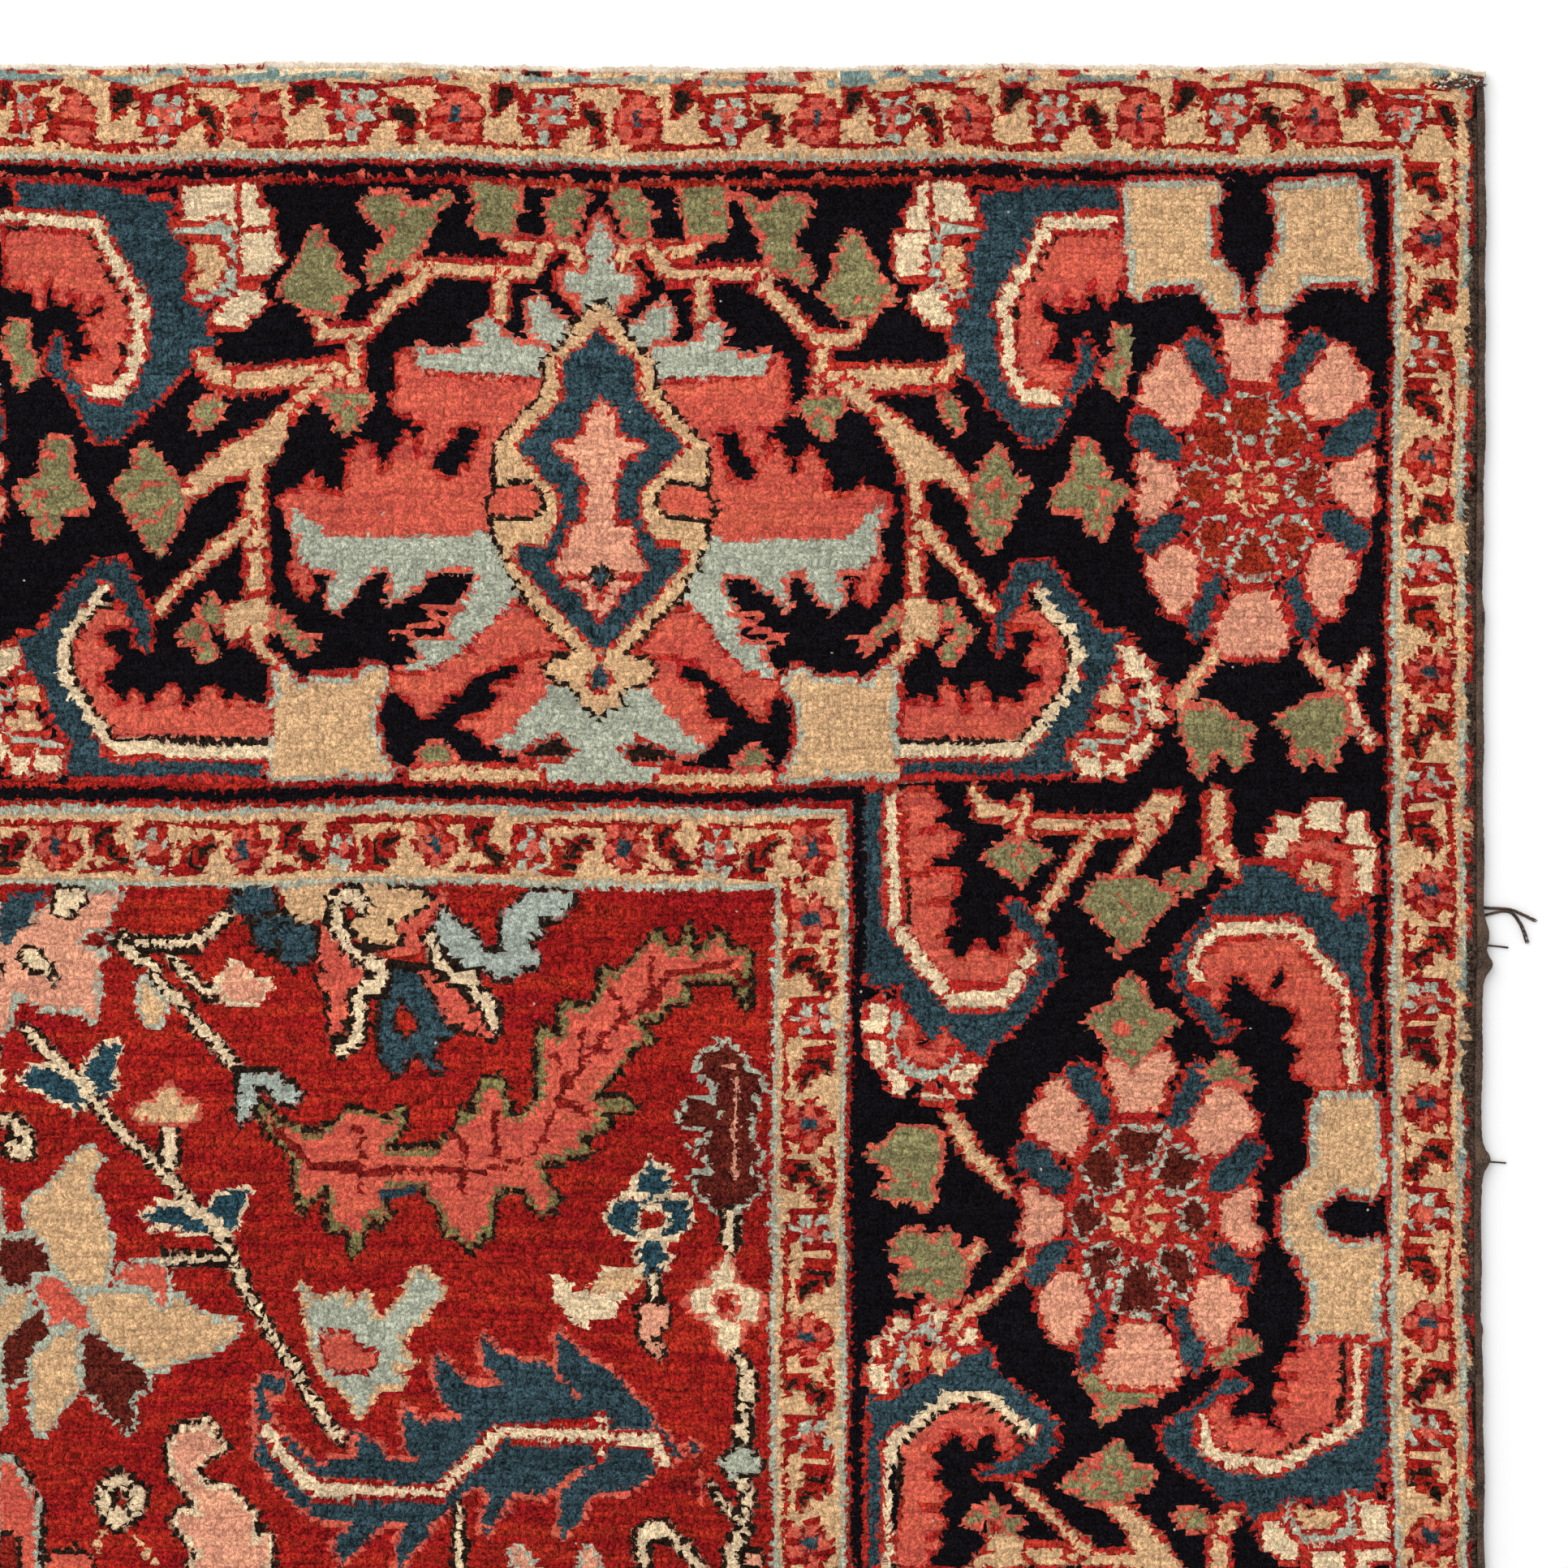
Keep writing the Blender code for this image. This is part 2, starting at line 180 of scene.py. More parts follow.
# half a border repeat, from the middle of the turtle palmette to the rosette
turtleHalf = (
    ("area", "celadon", "coral poppy", "720,268 738,268 748,284 756,292 757,332 784,336 786,353 764,360 766,380"
     " 720,380"),
    ("area", "celadon", "coral", "768,402 797,386 816,362 829,383 829,400 808,420 806,440 785,425",
     "803,424 845,422 861,412 866,393 890,401 878,428 908,436 932,436 940,423 948,447 940,465 806,465"),
    ("area", "coral", "poppy", "803,470 939,470 953,440 962,440 964,490 971,505 955,516 933,524 942,552 936,577"
     " 947,560 955,541 966,563 972,590 982,585 993,546 1010,566 1015,603 1030,613 1050,612 1059,590 1068,606"
     " 1089,609 1096,630 1078,640 1043,664 974,662 903,660 866,645 845,515"),
    ("area", "navy", "poppy", "884,530 903,530 912,550 930,574 922,588 906,585 890,556"),
    ("area", "celadon", "coral", "862,649 903,664 1040,667 1050,650 1070,635 1085,618 1084,640 1077,665 1079,698"
     " 1050,699 1026,701 1037,730 1030,756 1008,735 990,703 972,703 966,725 971,745 950,728 925,705 897,698 886,712"
     " 892,728 903,747 914,766 908,790 947,794 935,812 966,836 928,828 892,800 875,772 840,728 850,690"),
    ("area", "coral", "poppy", "1079,690 1086,700 1067,744 1057,730 1063,706"),
    ("line 9", "coral", "", "901,752 934,752 917,766 942,774 966,784"),
    ("area", "coral", "poppy", "834,742 848,745 875,775 892,803 925,830 966,838 962,850 945,862 941,884 930,880"
     " 920,862 905,850 896,838 872,822 862,812 845,803 826,799 812,808 776,799", "776,799 812,808 828,800 836,825"
     " 850,840 868,843 860,857 866,872 879,888 905,886 890,900 875,916 862,905 845,890 832,882 812,862 800,843"
     " 812,829"),
    ("area", "celadon", "coral", "720,850 801,843 815,865 829,882 866,914 863,926 823,932 810,936 807,956 801,966"
     " 720,966"),
    ("area", "ink", "poppy", "768,925 782,914 800,912 818,922 832,931 806,936 786,936"),
    ("area", "camel", "ink", "720,368 738,368 752,380 803,439 809,480 818,493 867,544 869,604 866,640 866,672"
     " 856,689 841,715 800,766 768,800 806,813 803,829 778,840 762,860 738,884 720,884"),
    ("area", "slate", "poppy", "720,403 738,403 782,442 784,491 808,513 840,550 824,568 786,606 785,634 795,656"
     " 808,668 842,672 841,688 738,796 720,796"),
    ("area", "coral", "ink", "813,605 829,595 852,600 873,609 873,632 816,633"),
    ("area", "salmon", "poppy", "720,494 738,494 750,504 755,512 755,537 790,543 790,552 766,566 762,582 750,592"
     " 756,600 757,645 775,652 777,662 784,680 792,688 788,699 738,699 720,699", "780,708 768,716 752,736 738,758"
     " 728,748 738,736 750,722 744,712 760,708"),
    ("spot 9 12", "slate", "ink", "738,704"),
    ("spot 13 14", "slate", "poppy", "738,831"),
    ("line 14", "camel", "poppy", "766,316 774,300 851,301"),
    ("line 17", "camel", "poppy", "804,302 824,334 947,336"),
    ("line 11", "camel", "poppy", "862,345 862,388"),
    ("line 14", "camel", "poppy", "935,344 996,414 1024,462"),
    ("line 13", "camel", "poppy", "998,415 1048,415 1056,390", "1008,432 1004,484"),
    ("line 21", "camel", "poppy", "1024,462 1056,466 1160,465"),
    ("line 15", "camel", "poppy", "1158,462 1182,440"),
    ("line 17", "camel", "poppy", "1040,472 1086,512"),
    ("area", "camel", "poppy", "1076,502 1092,502 1150,548 1182,580 1196,612 1188,622 1150,584 1140,590 1132,580"
     " 1134,700 1120,700 1116,582 1094,548"),
    ("line 17", "camel", "poppy", "1126,690 1128,745"),
    ("line 11", "camel", "poppy", "1134,648 1180,700 1217,752"),
    ("area", "camel", "poppy", "1116,740 1140,740 1156,752 1156,786 1140,790 1132,774 1128,798 1100,832 1090,824"
     " 1118,790 1106,768"),
    ("line 13", "sage", "coral", "1100,762 1086,778 1068,798"),
    ("line 7", "coral", "", "1072,786 1046,785"),
    ("spot 8 13", "sage", "coral", "1169,755"),
    ("spot 10 10", "sage", "coral", "1184,780"),
    ("spot 8 12", "sage", "coral", "1172,804"),
    ("area", "camel", "poppy", "812,950 952,950 952,962 812,962"),
    ("spot 16 12", "sage", "coral", "926,932"),
    ("area", "camel", "celadon poppy", "974,832 988,824 1007,845 1076,848 1081,835 1095,828 1098,846 1104,958"
     " 1030,958 1015,950 1004,958 968,958 968,948 982,932 990,900 987,872 975,850"),
    ("area", "sage", "coral", "757,240 772,222 790,238 803,262 798,286 776,286 764,262",
     "838,232 888,230 886,262 893,282 872,290 846,284", "905,238 925,248 935,262 948,262 955,250 965,243 986,240"
     " 996,255 990,270 975,288 970,300 990,320 993,335 988,356 979,348 974,335 950,325 940,310 934,285 924,265",
     "1043,284 1054,290 1064,305 1068,324 1092,351 1098,370 1082,372 1076,386 1029,390 1027,373 1006,362 1028,336"
     " 1027,313 1036,305"),
    ("spot 13 12", "sage", "coral", "1001,500 1026,499"),
    ("spot 11 13", "sage", "coral", "1013,522"),
    ("area", "sage", "coral", "1160,486 1172,488 1184,500 1180,528 1168,520 1158,500", "1374,402 1391,402 1399,418"
     " 1396,440 1384,455 1378,486 1367,470 1357,462 1364,448 1376,430", "1226,552 1235,552 1236,580 1250,590"
     " 1268,599 1250,622 1242,640 1228,668 1217,688 1212,670 1200,650 1193,620 1200,600 1207,580"),
    ("line 6", "coral", "", "1202,604 1228,600 1240,618", "1208,622 1224,648 1240,640"),
    ("area", "sage", "coral", "1322,546 1344,546 1351,570 1364,590 1386,602 1374,622 1360,636 1355,666 1341,654"
     " 1331,632 1318,624 1296,626 1306,605 1319,585"),
    ("line 6", "coral", "", "1338,602 1362,606 1352,626 1344,644"),
    ("area", "slate", "poppy", "1203,246 1244,233 1382,226 1382,262 1290,262 1268,312 1248,345 1228,372 1233,400"
     " 1240,455 1262,492 1300,495 1315,465 1326,450 1329,420 1339,416 1348,440 1345,458 1325,478 1315,490 1302,520"
     " 1290,540 1260,540 1245,525 1230,505 1205,475 1190,455 1188,430 1168,420 1172,404 1176,380 1184,368 1196,340"
     " 1190,318 1203,290 1212,285"),
    ("area", "coral", "poppy", "1290,284 1391,282 1392,355 1385,350 1379,337 1370,355 1357,376 1350,345 1346,337"
     " 1335,360 1328,378 1318,360 1313,353 1303,384 1290,368 1280,366 1272,382 1278,395 1297,404 1292,420 1278,446"
     " 1320,452 1306,475 1290,480 1265,475 1250,445 1247,400 1252,350 1270,318"),
    ("line 7", "ink", "", "1391,285 1298,286 1281,320 1254,366 1247,384 1252,446 1268,474 1294,478"),
    ("line 14", "cream", "poppy", "1392,270 1290,271 1270,314 1240,364 1234,380 1241,452 1260,484 1293,487"),
    ("area", "cream", "poppy", "1126,232 1140,231 1142,280 1110,280 1110,262 1126,258", "1146,232 1192,232 1194,268"
     " 1208,284 1186,278 1148,279", "1102,290 1142,289 1141,344 1108,340 1097,322 1100,306",
     "1126,354 1146,354 1168,390 1166,403 1140,402 1136,388 1118,378"),
    ("line 10", "celadon", "poppy", "1199,283 1160,282 1148,304 1150,350 1182,369"),
    ("area", "camel", "poppy", "1160,310 1172,302 1186,306 1184,328 1176,336 1190,352 1186,360 1164,350 1158,334"),
    ("line 13", "camel", "coral", "1500,800 1468,846 1438,868"),
    ("area", "slate", "poppy", "1228,804 1224,768 1236,727 1254,696 1292,694 1313,721 1339,754 1352,778 1384,784"
     " 1377,803 1374,832 1357,850 1348,873 1333,903 1315,917 1322,956 1278,958 1113,958 1113,941 1264,940 1290,904"
     " 1318,862 1334,832 1332,791 1313,766 1295,738 1280,715 1269,718 1257,744 1242,764 1235,791 1240,798"),
    ("area", "coral", "poppy", "1112,912 1112,874 1135,872 1140,856 1148,872 1158,872 1166,841 1178,862 1186,880"
     " 1195,882 1203,841 1214,862 1224,880 1232,878 1238,858 1246,872 1262,872 1272,844 1278,852 1288,845 1284,828"
     " 1262,815 1276,800 1290,792 1280,772 1262,768 1244,764 1262,753 1284,757 1306,785 1311,815 1300,855 1275,888"
     " 1258,910"),
    ("line 7", "ink", "", "1266,746 1288,750 1306,778 1318,802 1316,830 1300,862 1276,892 1260,914 1112,916"),
    ("line 14", "cream", "", "1281,728 1292,750 1316,776 1328,802 1325,838 1306,870 1281,902 1262,926 1112,928"),
    ("line 6", "poppy", "", "1112,938 1264,937 1292,906"),
    *hookFan,
)

rosette = (  # petals, bars and the middle, round 0,0; the left half is the right one mirrored
    ("area", "salmon", "poppy", "-8,-190 4,-196 14,-209 34,-206 42,-190 40,-176 29,-161 25,-134 0,-127 -8,-127",
     "90,-173 102,-172 114,-162 123,-146 138,-130 141,-107 120,-92 112,-80 87,-74 72,-83 60,-104 58,-119 72,-143",
     "96,-10 104,-26 118,-36 140,-37 150,-34 148,-22 139,-6 142,6 153,20 152,34 140,44 124,42 108,30 98,10",
     "80,72 96,70 110,78 117,94 127,99 126,120 108,144 106,160 99,166 84,158 72,141 64,117 66,96",
     "-8,134 25,134 38,160 50,186 42,204 16,209 -8,207"),
    ("area", "slate", "poppy", "88,-182 70,-190 58,-182 46,-156 33,-136 32,-112 48,-110 58,-128 74,-150 86,-166",
     "153,-88 136,-94 116,-80 94,-60 84,-48 90,-29 108,-29 134,-44 150,-60", "86,33 104,34 130,50 145,62 142,80"
     " 130,88 108,74 88,54", "39,117 54,110 62,136 76,158 80,176 68,192 54,176 46,146"),
    ("spot 90 124", "poppy", "", "0,0"),
    ("area", "rust", "celadon? poppy", "-26,-110 26,-110 26,-94 15,-73 5,-60 -26,-60", "44,-90 52,-80 70,-68 67,-50"
     " 54,-34 30,-34 24,-58 32,-72", "56,-14 66,-22 78,-20 81,0 79,16 72,24 60,18 48,4",
     "29,40 56,41 68,56 62,72 52,94 44,90 36,66 26,50", "-26,60 9,60 20,84 26,104 24,114 -26,114"),
    ("spot 42 40", "poppy", "", "0,0"),
    ("area", "camel", "", "10,0 12,-14 22,-18 34,-12 34,0", "11,6 32,4 32,22 24,24 14,16",
     "6,-20 16,-22 14,-32 5,-31", "6,20 15,22 13,36 5,36"),
    ("spot 5 9", "coral", "", "0,0"),
)

corner = (  # drawn only once: the corner's own squares, leaves and hooks
    *hookFan,
    ("area", "camel", "celadon poppy", "1388,226 1492,226 1500,238 1484,252 1484,314 1504,330 1521,350 1523,378"
     " 1505,382 1492,370 1472,342 1412,340 1405,355 1394,355 1389,300", "1568,230 1674,228 1676,315 1681,354"
     " 1676,354 1668,340 1610,338 1598,358 1584,374 1555,378 1554,350 1574,325 1584,300 1584,270 1576,248"),
    ("line 13", "camel", "coral", "1614,808 1660,852"),
    ("line 12", "cream", "poppy", "1682,814 1666,842", "1666,872 1674,890 1688,914"),
    ("line 12", "camel", "coral", "1452,864 1500,804"),
    ("area", "sage", "coral", "1452,872 1504,868 1519,884 1553,887 1530,903 1533,936 1522,944 1510,930 1500,914"
     " 1492,922 1490,946 1477,955 1472,926 1455,896", "1575,884 1598,874 1612,861 1658,861 1658,898 1647,918"
     " 1646,942 1632,938 1624,916 1614,918 1606,940 1595,932 1595,904 1580,892"),
    ("line 15", "camel", "poppy", "1202,982 1212,1000 1256,1008 1260,1013 1408,1013"),
    ("line 12", "camel", "poppy", "1262,986 1264,1010"),
    ("area", "camel", "poppy", "1424,980 1460,978 1444,1005 1434,1020 1400,1020 1402,1005"),
    ("line 13", "camel", "poppy", "1355,1020 1277,1132", "1424,1018 1384,1074"),
    ("line 12", "camel", "poppy", "1257,1016 1256,1034"),
    ("area", "sage", "coral", "1212,1054 1235,1044 1256,1038 1275,1044 1298,1058 1275,1068 1260,1084 1252,1092"
     " 1245,1077 1228,1070"),
    ("line 6", "coral", "", "1256,1040 1252,1058 1262,1070"),
    ("area", "sage", "coral", "1352,1084 1382,1080 1412,1084 1447,1107 1424,1126 1403,1156 1373,1176 1376,1160"
     " 1357,1134 1337,1120 1340,1106"),
    ("line 6", "coral", "", "1372,1098 1382,1112 1400,1124"),
    ("area", "sage", "coral", "1388,1202 1406,1213 1419,1243 1454,1258 1426,1284 1396,1313 1375,1298 1350,1266"
     " 1336,1262 1345,1250 1371,1241 1380,1220"),
    ("line 6", "coral", "", "1376,1258 1392,1272 1396,1300"),
    ("line 20", "camel", "poppy", "1501,978 1502,1048"),
    ("line 15", "camel", "poppy", "1504,1046 1526,1078"),
    ("line 14", "sage", "coral", "1486,1066 1478,1082 1462,1090 1448,1084"),
    ("area", "sage", "coral", "1500,1299 1516,1299 1516,1313 1546,1330 1534,1341 1518,1334 1494,1328 1480,1322"
     " 1500,1313"),
    ("area", "slate", "poppy", "1062,980 1085,982 1086,1142 1107,1168 1133,1198 1172,1243 1236,1243 1264,1213"
     " 1280,1184 1262,1153 1250,1134 1236,1118 1244,1111 1259,1117 1278,1140 1302,1171 1302,1198 1242,1275"
     " 1222,1283 1219,1303 1197,1295 1175,1274 1144,1278 1130,1257 1115,1229 1112,1211 1100,1210 1091,1222"
     " 1073,1207 1064,1184"),
    ("area", "coral", "poppy", "1116,981 1144,981 1166,999 1149,1010 1152,1023 1183,1030 1175,1048 1137,1061"
     " 1144,1079 1180,1078 1175,1104 1137,1111 1138,1121 1172,1123 1169,1139 1155,1151 1166,1173 1183,1190"
     " 1197,1182 1206,1162 1220,1184 1236,1182 1245,1151 1256,1148 1262,1173 1239,1211 1175,1213 1124,1156"
     " 1120,1140"),
    ("line 5", "poppy", "", "1128,1026 1152,1026", "1124,1078 1146,1080", "1126,1116 1150,1116"),
    ("line 7", "ink", "", "1114,1083 1114,1144 1149,1192 1172,1221 1236,1222 1256,1196"),
    ("line 14", "cream", "poppy", "1100,982 1101,1142 1138,1193 1172,1233 1236,1233 1268,1175"),
    ("area", "cream", "poppy", "1072,1234 1090,1234 1094,1250 1098,1252 1092,1268 1066,1268 1068,1248",
     "1069,1278 1090,1278 1090,1318 1080,1318 1070,1300", "1090,1316 1102,1314 1117,1332 1116,1348 1104,1346",
     "1131,1342 1150,1344 1172,1340 1173,1356 1132,1356", "1166,1334 1182,1308 1210,1308 1205,1324 1192,1328"
     " 1194,1344 1184,1344 1180,1334"),
    ("line 10", "celadon", "poppy", "1105,1246 1104,1291 1116,1314 1138,1325 1161,1321 1180,1296"),
    ("line 13", "coral", "poppy", "1122,1268 1126,1298 1148,1304 1168,1280"),
    ("area", "slate", "poppy", "1532,1066 1580,1072 1596,1089 1618,1087 1638,1103 1647,1117 1652,1138 1669,1120"
     " 1684,1115 1687,1212 1692,1240 1692,1333 1677,1333 1677,1229 1661,1212 1641,1184 1613,1154 1600,1130"
     " 1495,1131 1466,1168 1458,1193 1468,1221 1481,1229 1512,1262 1527,1269 1512,1281 1501,1279 1466,1240"
     " 1446,1204 1444,1182 1494,1117 1508,1098 1534,1090"),
    ("area", "coral", "poppy", "1484,1179 1504,1164 1540,1158 1592,1159 1613,1187 1650,1223 1652,1340 1630,1350"
     " 1608,1325 1591,1319 1608,1302 1612,1292 1588,1277 1607,1266 1602,1240 1568,1232 1582,1212 1594,1204"
     " 1577,1190 1560,1204 1563,1224 1551,1221 1540,1201 1523,1198 1507,1215 1507,1235 1493,1233 1484,1212"),
    ("line 13", "cream", "poppy", "1476,1207 1470,1184 1484,1162 1500,1146 1597,1144 1647,1205 1662,1226 1665,1338"),
    ("area", "cream", "poppy", "1578,1009 1600,1006 1602,1028 1608,1044 1590,1050 1582,1062 1560,1062 1562,1034"
     " 1575,1030", "1612,990 1650,988 1650,1024 1612,1026", "1662,1004 1678,1004 1682,1022 1693,1030 1692,1040"
     " 1660,1040", "1662,1048 1693,1048 1692,1100 1676,1104 1654,1124 1664,1100"),
    ("line 12", "coral", "poppy", "1592,1066 1594,1052 1612,1044 1638,1043 1655,1056 1661,1080 1660,1106"),
    ("area", "camel", "poppy", "1604,1068 1614,1062 1640,1064 1641,1094 1634,1098 1622,1086 1612,1092 1606,1084"),
    ("area", "camel", "celadon poppy", "1622,1352 1696,1356 1693,1400 1700,1440 1695,1474 1685,1468 1650,1460"
     " 1630,1474 1616,1498 1630,1526 1650,1537 1690,1540 1697,1524 1700,1560 1694,1600 1698,1645 1680,1640"
     " 1640,1636 1620,1644 1622,1600 1620,1570 1592,1528 1588,1485 1604,1457 1626,1440 1622,1400"),
    ("area", "sage", "coral", "1112,1388 1158,1390 1161,1440 1153,1470 1149,1495 1138,1488 1125,1473 1100,1478"
     " 1080,1466 1106,1460 1097,1440 1072,1425 1092,1412"),
    ("line 14", "camel", "poppy", "1172,1372 1190,1402 1240,1464"),
    ("line 13", "camel", "poppy", "1262,1556 1226,1598 1190,1620 1178,1640"),
    ("area", "sage", "coral", "1110,1522 1135,1520 1150,1532 1172,1514 1178,1540 1188,1556 1186,1598 1160,1610"
     " 1140,1588 1102,1593 1107,1570 1125,1560 1115,1545 1098,1547"),
)

leafEdge = (
    "324,1360 334,1370 360,1391 381,1397 404,1394 428,1372 442,1362 450,1376 464,1371 468,1388 497,1368 499,1386"
    " 492,1400 470,1420 513,1425 538,1418 565,1390 571,1370 588,1380 593,1336 612,1330 622,1320 626,1352 635,1378"
    " 664,1350 664,1258 676,1265 690,1282 697,1233 714,1244 738,1231 739,1200 746,1184 760,1194 790,1160 813,1136"
    " 826,1167 852,1138 857,1173 891,1140 899,1165 926,1169 926,1232 917,1244 914,1226 901,1205 838,1205 852,1229"
    " 814,1238 822,1251 784,1258 803,1284 782,1294 773,1311 734,1350 773,1353 785,1368 742,1372 750,1388 716,1400"
    " 730,1421 662,1428 678,1461 690,1480 668,1498 640,1468 624,1463 609,1474 607,1526 598,1517 588,1538 574,1547"
    " 567,1527 551,1524 544,1500 521,1469 474,1469 480,1500 474,1511 457,1500 447,1540 436,1551 431,1521 409,1518"
    " 406,1466 374,1499 364,1458 361,1430 336,1403 325,1380"
)

